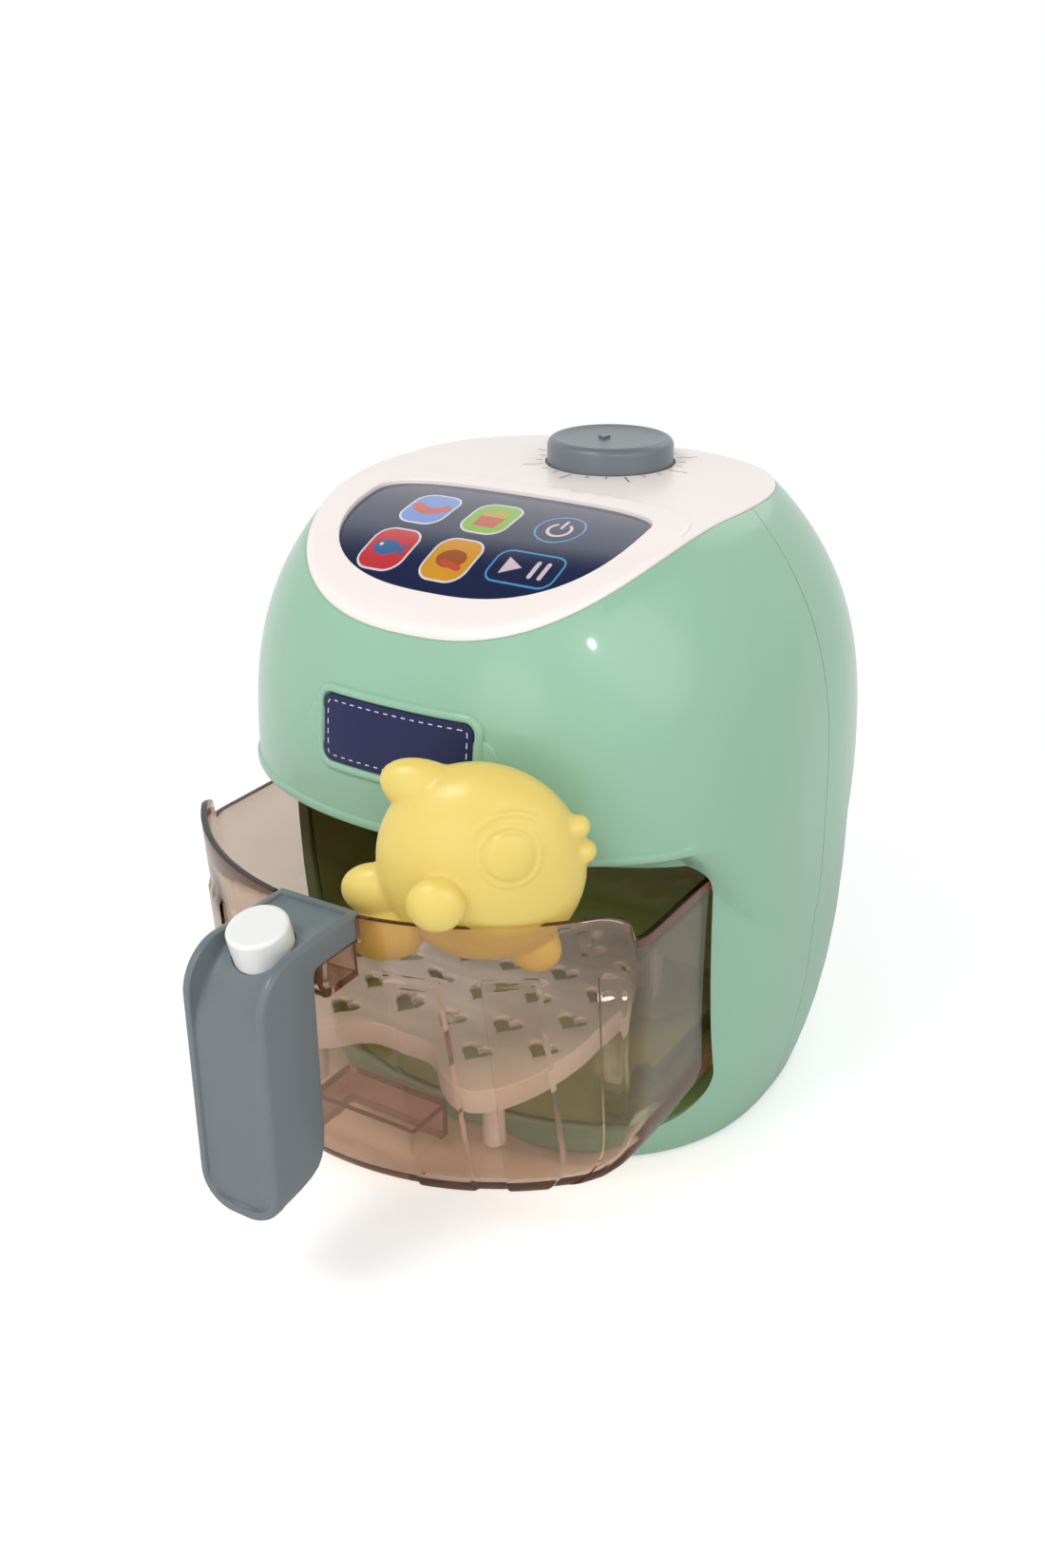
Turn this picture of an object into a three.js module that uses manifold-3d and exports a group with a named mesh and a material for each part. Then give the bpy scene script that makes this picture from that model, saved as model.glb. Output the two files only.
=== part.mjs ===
// Toy air fryer: a mint egg-shaped housing with a white cover, a transparent drawer with a grey
// handle, a crisper tray and a soft toy fish that sits between the drawer's rim and the overhang.
// Millimetres, +Z up, the front faces -Y, the origin is the middle of the base plate's underside.

import * as THREE from 'three';
import { mergeVertices } from 'three/addons/utils/BufferGeometryUtils.js';
import Module from 'manifold-3d';

const wasm = await Module();
wasm.setup();

// Driving dimensions of the housing
const bodyWidth = 170;
const bellyHeight = 95; // height of the widest section
const topHeight = 182; // height of the cover's flat top
const footShare = 0.0676;
const shoulderShare = 0.1647;
const footDrawIn = bodyWidth * footShare; // half width lost from the belly down to the foot
const shoulderDrawIn = bodyWidth * shoulderShare; // half width lost from the belly up to the top
const visorDepth = 86; // from the middle to the front of the overhang
const visorDrawIn = 20; // depth that the overhang loses up to the top
const lowerDepth = 67.5; // from the middle to the front under the overhang
const lowerDrawIn = 2.5; // depth that the lower front loses down to the foot
const backDepth = 76.5;
const visorHeight = 104.5; // underside of the overhang
const wall = 2.2;
const gap = 0.3; // clearance between pieces that touch
const overrun = 6; // how far a cutter passes what it cuts
const screwRadius = 1.4;
const screwHeadRadius = 3;
const screwHeadHeight = 1.6;

// Places of the housing's features
const swoopDepth = 40; // how far the edge of the overhang sweeps down on the sides
const swoopMiddle = -4;
const swoopFront = 48;
const swoopBack = 37;
const swoopStep = 0.8; // how far the upper body stands proud of the lower body
const beadHeight = 2.6;
const beadProud = 0.7;
const beadStop = 53; // the bead fades out where the front turns into the side
const beadFade = 8;
const slopeStart = 13; // the cover is flat behind this line and curves down in front of it
const slopeRadius = 110;
const shoulderDrop = 1.6; // the shells end this far under the cover's surface
const shellFoot = 0.8; // the shells hang this far above the base plate's underside

// The drawer opening
const openingMargin = 13.8; // from the opening's side to the widest part of the body
const openingHalfWidth = bodyWidth / 2 - openingMargin;
const openingFloor = 10;
const openingLip = 7.5; // from the opening's top to the underside of the overhang
const openingTop = visorHeight - openingLip;
const openingFloorRadius = 20;
const openingTopRadius = 6;

// Shares that shape the body
const planPower = 2.45;
const blendShares = [0.15, 0.45, 1];
const blendInnerShares = [0.45, 0.15];
const blendFront = 50; // ahead of this line the overhang is a sharp lip
const blendReach = 25;
const softFront = 30; // behind this line the step under the overhang is tight
const softReach = 40;
const softPower = 2;
const ledgePower = 6;
const footPower = 3;
const shoulderPower = 3.15;
const swoopPower = 0.8;
const lowerOuterShares = [0, 0.14, 0.35, 0.65, 1];
const lowerInnerShares = [1, 0.5, 0.15, 0];
const upperOuterShares = [0.1, 0.27, 0.45, 0.62, 0.77, 0.9, 1];
const upperInnerShares = [1, 0.75, 0.4, 0];
const around = 40;
const angles = Array.from({ length: around }, (_, i) => ((i + 0.5) * 2 * Math.PI) / around);

// Turns a closed geometry into a solid for cutting and joining.
function solid(geometry) {
  const bare = new THREE.BufferGeometry();
  bare.setAttribute('position', geometry.getAttribute('position'));
  bare.setIndex(geometry.index);
  const merged = mergeVertices(bare, gap / 1000);
  const corners = [];
  for (let i = 0; i < merged.index.count; i += 3) {
    const [a, b, c] = merged.index.array.slice(i, i + 3);
    if (a !== b && b !== c && c !== a) corners.push(a, b, c);
  }
  const made = new wasm.Manifold(
    new wasm.Mesh({
      numProp: 3,
      vertProperties: merged.attributes.position.array,
      triVerts: new Uint32Array(corners),
    }),
  );
  return made;
}

// Skins a list of rings of equal length: closed on itself, or with a fan over each end.
// The rings run upwards, or downwards where falling is set.
function loft(rings, closed = false, falling = false) {
  const count = rings[0].length;
  const points = rings.flat();
  const faces = [];
  const spans = closed ? rings.length : rings.length - 1;
  for (let r = 0; r < spans; r++) {
    const low = r * count;
    const high = ((r + 1) % rings.length) * count;
    for (let i = 0; i < count; i++) {
      const j = (i + 1) % count;
      faces.push(low + i, low + j, high + j, low + i, high + j, high + i);
    }
  }
  if (!closed) {
    const ends = [rings[0], rings[rings.length - 1]];
    ends.forEach((ring, end) => {
      const middle = ring.reduce((sum, p) => sum.add(p), new THREE.Vector3()).divideScalar(count);
      const apex = points.push(middle) - 1;
      const start = end * (rings.length - 1) * count;
      for (let i = 0; i < count; i++) {
        const j = (i + 1) % count;
        if (end) faces.push(apex, start + i, start + j);
        else faces.push(apex, start + j, start + i);
      }
    });
  }
  const geometry = new THREE.BufferGeometry().setFromPoints(points);
  geometry.setIndex(falling ? faces.reverse() : faces);
  return solid(geometry);
}

const shapeOf = (outline) => new THREE.Shape(outline.map(([u, v]) => new THREE.Vector2(u, v)));

// Extrudes an outline of [x, y] points from z = low to z = high.
function extrudeZ(outline, low, high) {
  const geometry = new THREE.ExtrudeGeometry(shapeOf(outline), { depth: high - low, bevelEnabled: false });
  return solid(geometry.translate(0, 0, low));
}

// Extrudes an outline of [y, z] points from x = low to x = high.
function extrudeX(outline, low, high) {
  const geometry = new THREE.ExtrudeGeometry(shapeOf(outline), { depth: high - low, bevelEnabled: false });
  const turn = new THREE.Matrix4().makeBasis(
    new THREE.Vector3(0, 1, 0),
    new THREE.Vector3(0, 0, 1),
    new THREE.Vector3(1, 0, 0),
  );
  return solid(geometry.applyMatrix4(turn).translate(low, 0, 0));
}

// Extrudes an outline of [x, z] points from y = low to y = high.
function extrudeY(outline, low, high) {
  const geometry = new THREE.ExtrudeGeometry(shapeOf(outline), { depth: high - low, bevelEnabled: false });
  const turn = new THREE.Matrix4().makeBasis(
    new THREE.Vector3(1, 0, 0),
    new THREE.Vector3(0, 0, 1),
    new THREE.Vector3(0, -1, 0),
  );
  return solid(geometry.applyMatrix4(turn).translate(0, high, 0));
}

function box(x0, x1, y0, y1, z0, z1) {
  const geometry = new THREE.BoxGeometry(x1 - x0, y1 - y0, z1 - z0);
  return solid(geometry.translate((x0 + x1) / 2, (y0 + y1) / 2, (z0 + z1) / 2));
}

function cylinder(radius, x, y, z0, z1, sides = 16) {
  const geometry = new THREE.CylinderGeometry(radius, radius, z1 - z0, sides);
  return solid(geometry.rotateX(Math.PI / 2).translate(x, y, (z0 + z1) / 2));
}

function ball(radii, place, wide = 10, high = 8, tilt = 0) {
  const geometry = new THREE.SphereGeometry(1, wide, high).rotateX(Math.PI / 2).scale(...radii);
  return solid(geometry.rotateY(tilt).translate(...place));
}

// A rectangle from (u0, v0) to (u1, v1) with a low and a high corner radius.
function roundedOutline(u0, u1, v0, v1, lowRadius, highRadius, steps = 4) {
  const corners = [
    [u1 - lowRadius, v0 + lowRadius, lowRadius, -Math.PI / 2],
    [u1 - highRadius, v1 - highRadius, highRadius, 0],
    [u0 + highRadius, v1 - highRadius, highRadius, Math.PI / 2],
    [u0 + lowRadius, v0 + lowRadius, lowRadius, Math.PI],
  ];
  return corners.flatMap(([u, v, radius, start]) =>
    Array.from({ length: steps + 1 }, (_, i) => {
      const angle = start + (i * Math.PI) / 2 / steps;
      return [u + radius * Math.cos(angle), v + radius * Math.sin(angle)];
    }),
  );
}

const model = new THREE.Group();

// Finishes of the pieces: colour, roughness and metalness
const finishes = {
  mint: [0xa0cdb2, 0.3, 0],
  white: [0xf6eeea, 0.35, 0],
  navy: [0x23325f, 0.12, 0],
  slate: [0x7b8a8e, 0.4, 0],
  rose: [0xb59a8e, 0.08, 0],
  pale: [0xd8d4d2, 0.45, 0],
  yellow: [0xf0d76e, 0.45, 0],
  bay: [0x3c5a4a, 0.45, 0],
  black: [0x2a2c2e, 0.6, 0],
  board: [0x2e6b3e, 0.6, 0],
  steel: [0xb8babc, 0.35, 1],
  amber: [0xd8862c, 0.2, 0],
  copper: [0xc08a3a, 0.4, 0.6],
};

// Adds a solid to the model as a named mesh.
function add(name, made, finish) {
  const mesh = made.getMesh();
  const geometry = new THREE.BufferGeometry();
  geometry.setAttribute('position', new THREE.BufferAttribute(new Float32Array(mesh.vertProperties), 3));
  geometry.setIndex(new THREE.BufferAttribute(new Uint32Array(mesh.triVerts), 1));
  const [color, roughness, metalness] = finishes[finish];
  const material = new THREE.MeshStandardMaterial({ color, roughness, metalness, flatShading: true });
  const piece = new THREE.Mesh(geometry, material);
  piece.name = name;
  model.add(piece);
  return piece;
}

// The body's half width at a height: widest at the belly, drawn in to the foot and the shoulder.
function halfWidth(z) {
  const below = Math.max(0, bellyHeight - z) / bellyHeight;
  const above = Math.max(0, z - bellyHeight) / (topHeight - bellyHeight);
  return bodyWidth / 2 - footDrawIn * below ** footPower - shoulderDrawIn * above ** shoulderPower;
}

function lowerFront(z) {
  return lowerDepth - lowerDrawIn * (Math.max(0, bellyHeight - z) / bellyHeight) ** footPower;
}

function upperFront(z) {
  return visorDepth - visorDrawIn * (Math.max(0, z - visorHeight) / (topHeight - visorHeight)) ** footPower;
}

// A point of the body's surface in one direction. The upper body, 1, overhangs the lower one, 0.
function bodyPoint(angle, z, upper, inset) {
  const c = Math.cos(angle);
  const s = Math.sin(angle);
  const inward = inset + swoopStep * (1 - upper);
  const front = lowerFront(z) + (upperFront(z) - lowerFront(z)) * upper - inset;
  const back = (backDepth * halfWidth(z)) / (bodyWidth / 2) - inward;
  const x = (halfWidth(z) - inward) * Math.sign(c) * Math.abs(c) ** (2 / planPower);
  const y = (s < 0 ? front : back) * Math.sign(s) * Math.abs(s) ** (2 / planPower);
  return new THREE.Vector3(x, y, z);
}

// The edge of the overhang sweeps down along the side and up again.
function edgeHeight(y) {
  const reach = y < swoopMiddle ? swoopFront : swoopBack;
  const along = Math.min(1, Math.abs(y - swoopMiddle) / reach);
  return visorHeight - swoopDepth * (1 - along ** 2) ** swoopPower;
}

const lowerY = (angle) => bodyPoint(angle, bellyHeight, 0, 0).y;
const lowerEdge = (angle) => edgeHeight(lowerY(angle));

function easeShare(value) {
  const clipped = Math.min(1, Math.max(0, value));
  return clipped ** 2 * (3 - 2 * clipped);
}

// How far the surface has gone over from the lower to the upper body at a share of the way up
function blendShare(angle, share) {
  const y = lowerY(angle);
  const onSide = easeShare((y + blendFront) / blendReach);
  const power = softPower + ledgePower * easeShare((y + softFront) / softReach);
  return (1 - onSide) * share ** 2 + onSide * (1 - (1 - share) ** power);
}

// The cover's surface: flat behind, and an arc that falls away to the front.
function coverHeight(y) {
  const ahead = Math.max(0, -slopeStart - y);
  return topHeight - slopeRadius + Math.sqrt(slopeRadius ** 2 - ahead ** 2);
}

// The height at which the shell meets the cover in one direction.
function shoulderHeight(angle) {
  let low = visorHeight;
  let high = topHeight;
  for (let i = 0; i < around; i++) {
    const z = (low + high) / 2;
    if (z < coverHeight(bodyPoint(angle, z, 1, 0).y) - shoulderDrop) low = z;
    else high = z;
  }
  return low;
}

const shoulders = angles.map(shoulderHeight);

function lowerRing(share, inset, lift = 0) {
  return angles.map((angle) => {
    const edge = lowerEdge(angle) + lift;
    return bodyPoint(angle, shellFoot + share * (edge - shellFoot), 0, inset);
  });
}

// Between the swooping edge and the overhang's level the lower body blends into the upper one.
function blendRing(share, inset, lift = 0) {
  return angles.map((angle) => {
    const edge = lowerEdge(angle);
    return bodyPoint(angle, edge + lift + share * (visorHeight - edge), blendShare(angle, share), inset);
  });
}

function upperRing(share, inset, lift = 0) {
  const edge = visorHeight + lift;
  return angles.map((angle, i) => bodyPoint(angle, edge + share * (shoulders[i] - edge), 1, inset));
}

// The bead runs along the edge of the overhang and fades out where the front ends.
function beadRing(heightShare, proudShare) {
  return angles.map((angle) => {
    const z = visorHeight + heightShare * beadHeight;
    const fade = easeShare((-bodyPoint(angle, z, 1, 0).y - beadStop) / beadFade);
    return bodyPoint(angle, z, 1, -beadProud * proudShare * fade);
  });
}

const outerRings = (inset, lift) => [
  ...lowerOuterShares.map((share) => lowerRing(share, inset, lift)),
  ...blendShares.map((share) => blendRing(share, inset, lift)),
  ...upperOuterShares.map((share) => upperRing(share, inset, lift)),
];

const bodySolid = (inset) => loft(outerRings(inset, 0));
// The room inside the shells, drawn in by a further margin
const innerRings = (margin) => [
  ...upperInnerShares.map((share) => upperRing(share, wall + margin, wall + margin)),
  ...blendInnerShares.map((share) => blendRing(share, wall + margin, wall + margin)),
  ...lowerInnerShares.map((share) => lowerRing(share, wall + margin, wall + margin)),
];
const innerSolid = (margin) => loft(innerRings(margin), false, true);
const upperSolid = (inset) => loft([0, ...upperOuterShares].map((share) => upperRing(share, inset)));

// A slab that follows the cover's surface between two offsets from it.
function coverSlab(low, high) {
  const turns = Array.from({ length: 13 }, (_, i) => (i * Math.PI) / 36);
  const arc = (offset) =>
    turns.map((turn) => [
      -slopeStart - (slopeRadius + offset) * Math.sin(turn),
      topHeight - slopeRadius + (slopeRadius + offset) * Math.cos(turn),
    ]);
  const outline = [
    [backDepth + overrun, topHeight + high],
    ...arc(high),
    ...arc(low).reverse(),
    [backDepth + overrun, topHeight + low],
  ];
  return extrudeX(outline, -bodyWidth, bodyWidth);
}

// Half of a superellipse about (0, y): the display and the step behind it are made of these.
function arch(y, halfAcross, reach, power, start, steps) {
  return Array.from({ length: steps + 1 }, (_, i) => {
    const angle = start + (i * Math.PI) / steps;
    const c = Math.cos(angle);
    const s = Math.sin(angle);
    return [
      halfAcross * Math.sign(c) * Math.abs(c) ** (2 / power),
      y + reach * Math.sign(s) * Math.abs(s) ** (2 / power),
    ];
  });
}

// Both housing shells as one wall, cut apart at the seam.
const seamY = 0;

function housingShells() {
  const rings = [
    ...lowerOuterShares.map((share) => lowerRing(share, 0)),
    ...blendShares.map((share) => blendRing(share, 0)),
    beadRing(0.15, 1),
    beadRing(0.8, 1),
    beadRing(1, 0),
    ...upperOuterShares.map((share) => upperRing(share, 0)),
    ...innerRings(0),
  ];
  return loft(rings, true);
}

const reachX = 2 * (bodyWidth + visorDepth); // long enough for every cutter
const reachY = reachX;
const shells = housingShells();
const openingOutline = (inset) =>
  roundedOutline(
    -openingHalfWidth + inset,
    openingHalfWidth - inset,
    openingFloor + inset,
    openingTop - inset,
    openingFloorRadius - inset,
    openingTopRadius - inset,
  );

// Badge on the overhang: a raised frame with a plain plate in it
const badgeShare = 0.49; // its place between the overhang's edge and the cover
const frontShoulder = shoulderHeight(-Math.PI / 2);
const badgeHeight = visorHeight + badgeShare * (frontShoulder - visorHeight);
const badgeHalfWidth = 23.6;
const badgeHalfHeight = 9.4;
const badgeRadius = 3;
const badgeFrame = 2.2;
const badgeProud = 1.2;
const badgeThickness = 0.9;
const badgeRecess = 0.5;

function badgeBlock(margin) {
  const outline = roundedOutline(
    -badgeHalfWidth - margin,
    badgeHalfWidth + margin,
    badgeHeight - badgeHalfHeight - margin,
    badgeHeight + badgeHalfHeight + margin,
    badgeRadius + margin,
    badgeRadius + margin,
    3,
  );
  return extrudeY(outline, -visorDepth - overrun, -visorDepth / 2);
}

function frontShell() {
  const half = shells.intersect(box(-reachX, reachX, -reachY, seamY - gap / 2, -overrun, topHeight));
  const frame = badgeBlock(badgeFrame).intersect(upperSolid(-badgeProud)).subtract(upperSolid(wall / 2));
  const pocket = badgeBlock(0).subtract(upperSolid(badgeRecess));
  const opening = extrudeY(openingOutline(0), -visorDepth, -lowerDepth / 3);
  return half.subtract(opening).add(frame).subtract(pocket);
}

add('front_shell', frontShell(), 'mint');
const badgeFoot = badgeRecess - gap; // the plate's underside lies this far under the shell's surface
add(
  'badge_plate',
  badgeBlock(-gap).intersect(upperSolid(badgeFoot - badgeThickness)).subtract(upperSolid(badgeFoot)),
  'navy',
);

// Speaker in a collar on the back shell, behind a grille of slots
const speakerHeight = 124;
const speakerRadius = 16;
const speakerDepth = 7;
const speakerBack = 5; // from the speaker's face to the back of the body
const collarWall = 1.6;
const slotHalfWidth = 11;
const slotHeight = 1.8;
const slotPitch = 4.6;
const slotCount = 5;

function cylinderY(radius, x, z, y0, y1, sides = 16) {
  const geometry = new THREE.CylinderGeometry(radius, radius, y1 - y0, sides);
  return solid(geometry.translate(x, (y0 + y1) / 2, z));
}

const speakerFace = backDepth - wall - speakerBack;

function backShell() {
  const half = shells.intersect(box(-reachX, reachX, seamY + gap / 2, reachY, -overrun, topHeight));
  const collarFront = speakerFace - speakerDepth;
  const collar = cylinderY(speakerRadius + gap + collarWall, 0, speakerHeight, collarFront, backDepth)
    .subtract(cylinderY(speakerRadius + gap, 0, speakerHeight, collarFront - overrun, backDepth + overrun))
    .intersect(bodySolid(wall / 2));
  let shell = half.add(collar);
  for (let i = 0; i < slotCount; i++) {
    const z = speakerHeight + (i - (slotCount - 1) / 2) * slotPitch;
    const slot = roundedOutline(
      -slotHalfWidth,
      slotHalfWidth,
      z - slotHeight / 2,
      z + slotHeight / 2,
      slotHeight / 2,
      slotHeight / 2,
      2,
    );
    shell = shell.subtract(extrudeY(slot, speakerFace + gap, backDepth + overrun));
  }
  return shell;
}

add('back_shell', backShell(), 'mint');

// Stepped speaker: a basket behind and the magnet at its back
function speaker() {
  const magnetRadius = speakerRadius / 2;
  const basketFront = speakerFace - speakerDepth / 2;
  return cylinderY(speakerRadius, 0, speakerHeight, basketFront, speakerFace - gap).add(
    cylinderY(magnetRadius, 0, speakerHeight, speakerFace - speakerDepth * 1.6, basketFront + gap),
  );
}

add('speaker', speaker(), 'black');

// Cover with the display recess, a lowered deck behind it, a knob hole and bosses for the board
const coverThickness = 3;
const coverEdgeInset = 0.6;
const skirtThickness = 1.6;
const skirtDepth = 5;
const deckDrop = 0.9;
const displayPlaceShare = 0.384;
const displayWidthShare = 0.2547;
const displayReachShare = 0.4128;
const displayMiddle = -visorDepth * displayPlaceShare;
const displayHalfWidth = bodyWidth * displayWidthShare;
const displayFrontReach = visorDepth * displayReachShare;
const displayBackReach = 13;
const displayThickness = 1;
const displayRecess = 1.3;
const stepMargin = 10;
const stepBackMargin = 8.5;
const knobY = 26;
const knobShaftRadius = 3;
const boardHalfWidth = 34;
const boardFront = -58;
const boardBack = -20;
const boardZ = 154;
const boardThickness = 1.6;
const bossRadius = 2.6;

function displayOutline(margin) {
  const front = arch(displayMiddle, displayHalfWidth + margin, displayFrontReach + margin, 2.6, Math.PI, 18);
  const back = arch(displayMiddle, displayHalfWidth + margin, displayBackReach + margin, 3, 0, 10);
  return [...front.slice(0, -1), ...back.slice(0, -1)];
}

function topCover() {
  const edge = (inset, lift) =>
    angles.map((angle, i) => bodyPoint(angle, shoulders[i], 1, inset).setZ(shoulders[i] + lift));
  const top = (share, drop) =>
    angles.map((angle, i) => {
      const rim = bodyPoint(angle, shoulders[i], 1, coverEdgeInset);
      return rim.multiplyScalar(share).setZ(coverHeight(rim.y) - drop);
    });
  const skirtOut = wall + gap;
  const skirtIn = skirtOut + skirtThickness;
  let cover = loft([
    top(0.4, coverThickness),
    top(0.85, coverThickness),
    edge(skirtIn, -gap),
    edge(skirtIn, -skirtDepth),
    edge(skirtOut, -skirtDepth),
    edge(skirtOut, gap),
    edge(coverEdgeInset, gap),
    top(0.988, shoulderDrop / 4),
    top(0.965, 0),
    top(0.8, 0),
    top(0.55, 0),
    top(0.28, 0),
  ]);
  const recess = extrudeZ(displayOutline(gap), 0, topHeight + overrun).intersect(
    coverSlab(-displayRecess - displayThickness - gap, overrun),
  );
  const step = arch(
    displayMiddle,
    displayHalfWidth + stepMargin,
    displayBackReach + stepBackMargin,
    3,
    0,
    14,
  );
  const deckOutline = [
    [reachX, displayMiddle],
    ...step,
    [-reachX, displayMiddle],
    [-reachX, reachY],
    [reachX, reachY],
  ];
  const deck = extrudeZ(deckOutline, 0, topHeight + overrun).intersect(coverSlab(-deckDrop, overrun));
  for (const x of [-1, 1]) {
    for (const y of [boardFront + 2 * bossRadius, boardBack - 2 * bossRadius]) {
      const top = coverHeight(y) - coverThickness / 2;
      const bossX = x * (boardHalfWidth - 2 * bossRadius);
      cover = cover.add(cylinder(bossRadius, bossX, y, boardZ + boardThickness + gap, top, 8));
    }
  }
  const shaftHole = cylinder(knobShaftRadius + gap, 0, knobY, 0, topHeight + overrun);
  return cover.subtract(recess).subtract(deck).subtract(shaftHole);
}

add('top_cover', topCover(), 'white');
add(
  'display_panel',
  extrudeZ(displayOutline(0), 0, topHeight + overrun).intersect(
    coverSlab(-displayRecess - displayThickness, -displayRecess),
  ),
  'navy',
);

// Touch board under the display, hung on the cover's bosses
const chipSize = 9;
const chipHeight = 1.8;
const chipBack = boardFront / 2;
const chipHalf = chipSize / 2;
const chip = box(-chipHalf, chipHalf, chipBack - chipSize, chipBack, boardZ - chipHeight, boardZ + gap);
add(
  'touch_board',
  box(-boardHalfWidth, boardHalfWidth, boardFront, boardBack, boardZ, boardZ + boardThickness).add(chip),
  'board',
);

// Timer knob on its switch
const deckHeight = topHeight - deckDrop;
const knobRadius = 18.7;
const knobHeight = 7.1;
const knobEdge = 2.4;
const knobDish = 0.9;
const knobSkirt = 1.8;
const ribCount = 6;
const ribProud = 0.5;
const ribWidth = 1.2;
const pointerLength = 4.5;
const pointerWidth = 3.2;
const switchRadius = 9.5;
const switchHeight = 9;
const retainerHeight = 1.2;
const shaftTail = 3;
const switchTop = topHeight - coverThickness - gap;
const switchBottom = switchTop - switchHeight;
const shaftBottom = switchBottom - shaftTail;

function timerKnob() {
  const foot = deckHeight + gap;
  const top = foot + knobHeight;
  const profile = [
    [0, shaftBottom],
    [knobShaftRadius, shaftBottom],
    [knobShaftRadius, top - knobHeight / 2],
    [knobRadius - knobSkirt, top - knobHeight / 2],
    [knobRadius - knobSkirt, foot],
    [knobRadius, foot],
    [knobRadius, top - knobEdge],
    [knobRadius - knobEdge * 0.3, top - knobEdge * 0.3],
    [knobRadius - knobEdge, top],
    [knobRadius - 2 * knobEdge, top - knobDish / 3],
    [knobRadius / 2, top - knobDish],
    [0, top - knobDish],
  ].map(([r, z]) => new THREE.Vector2(r, z));
  let knob = solid(new THREE.LatheGeometry(profile, 28).rotateX(Math.PI / 2));
  for (let i = 0; i < ribCount; i++) {
    const angle = Math.PI / 2 + ((i - (ribCount - 1) / 2) * 2 * ribWidth) / knobRadius;
    const rib = new THREE.BoxGeometry(2 * ribProud, ribWidth, knobHeight - 2 * knobEdge);
    rib.translate(knobRadius, 0, foot + knobHeight / 2).rotateZ(angle);
    knob = knob.add(solid(rib));
  }
  const tip = -knobRadius + 2 * knobEdge;
  const pointer = [
    [0, tip],
    [pointerWidth / 2, tip + pointerLength],
    [-pointerWidth / 2, tip + pointerLength],
  ];
  return knob.add(extrudeZ(pointer, top - knobHeight / 3, top));
}

const knobSolid = timerKnob().translate([0, knobY, 0]);
add('timer_knob', knobSolid, 'slate');
add(
  'timer_switch',
  cylinder(switchRadius, 0, knobY, switchBottom, switchTop, 16).subtract(
    cylinder(knobShaftRadius + gap, 0, knobY, 0, topHeight),
  ),
  'white',
);
add(
  'knob_retainer',
  cylinder(2 * knobShaftRadius, 0, knobY, switchBottom - gap - retainerHeight, switchBottom - gap).subtract(
    cylinder(knobShaftRadius + gap / 2, 0, knobY, 0, topHeight),
  ),
  'steel',
);

// Base plate with screw holes, the battery door and the bay's posts above it
const baseThickness = 3;
const postRadius = 4;
const postX = 42;
const postY = 24;
const postPlaces = [-1, 1].flatMap((x) => [-1, 1].map((y) => [x * postX, y * postY]));
const cellRadius = 7.2;
const cellLength = 50.5;
const cellPitch = 16.2;
const cellCount = 3;
const boxWall = 1.2;
const springLength = 3;
const contactHeight = 1;
const bayBack = 38;
const batterySetback = 11.2;
const batteryY = bayBack + batterySetback;
const doorThickness = 1.6;
const doorMargin = 3;
const cellXs = Array.from({ length: cellCount }, (_, i) => (i - (cellCount - 1) / 2) * cellPitch);
const boxHalfWidth = ((cellCount - 1) * cellPitch) / 2 + cellRadius + gap + boxWall;
const boxHalfDepth = cellRadius + gap + boxWall;
const cellBottom = baseThickness + gap + springLength;
const cellTop = cellBottom + cellLength;
const doorBottom = gap;
const doorTop = doorBottom + doorThickness;

function basePlate() {
  const ring = (z) => angles.map((angle) => bodyPoint(angle, shellFoot, 0, wall + gap).setZ(z));
  let plate = loft([ring(0), ring(baseThickness)]);
  plate = plate.subtract(
    box(
      -boxHalfWidth - doorMargin,
      boxHalfWidth + doorMargin,
      batteryY - boxHalfDepth - doorMargin,
      batteryY + boxHalfDepth + doorMargin / 3,
      -overrun,
      doorTop + gap,
    ),
  );
  plate = plate.subtract(
    box(
      -boxHalfWidth + boxWall,
      boxHalfWidth - boxWall,
      batteryY - boxHalfDepth + boxWall,
      batteryY + boxHalfDepth - boxWall,
      -overrun,
      baseThickness + overrun,
    ),
  );
  for (const [x, y] of postPlaces) {
    plate = plate.subtract(cylinder(screwRadius + gap, x, y, -overrun, baseThickness + overrun, 10));
    plate = plate.subtract(cylinder(screwHeadRadius + gap, x, y, -overrun, screwHeadHeight + 2 * gap, 10));
  }
  return plate;
}

add('base_plate', basePlate(), 'mint');

function screw(x, y, head, length) {
  return cylinder(screwHeadRadius, x, y, head, head + screwHeadHeight, 10).add(
    cylinder(screwRadius, x, y, head + screwHeadHeight / 2, head + length, 8),
  );
}

const bayFloor = openingFloor + 1;
const bayWall = 2;
postPlaces.forEach(([x, y], i) => {
  add(`base_screw_${i + 1}`, screw(x, y, gap, bayFloor - bayWall - gap), 'steel');
});

add(
  'battery_door',
  box(
    -boxHalfWidth - doorMargin + gap,
    boxHalfWidth + doorMargin - gap,
    batteryY - boxHalfDepth - doorMargin + gap,
    batteryY + boxHalfDepth + doorMargin / 3 - gap,
    doorBottom,
    doorTop,
  ),
  'mint',
);

function batteryBox() {
  let made = box(
    -boxHalfWidth,
    boxHalfWidth,
    batteryY - boxHalfDepth,
    batteryY + boxHalfDepth,
    baseThickness + gap,
    cellTop + contactHeight + 2 * gap + boxWall,
  );
  for (const x of cellXs) {
    made = made.subtract(
      cylinder(cellRadius + gap, x, batteryY, 0, cellTop + contactHeight + 2 * gap, 14),
    );
  }
  return made;
}

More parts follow.
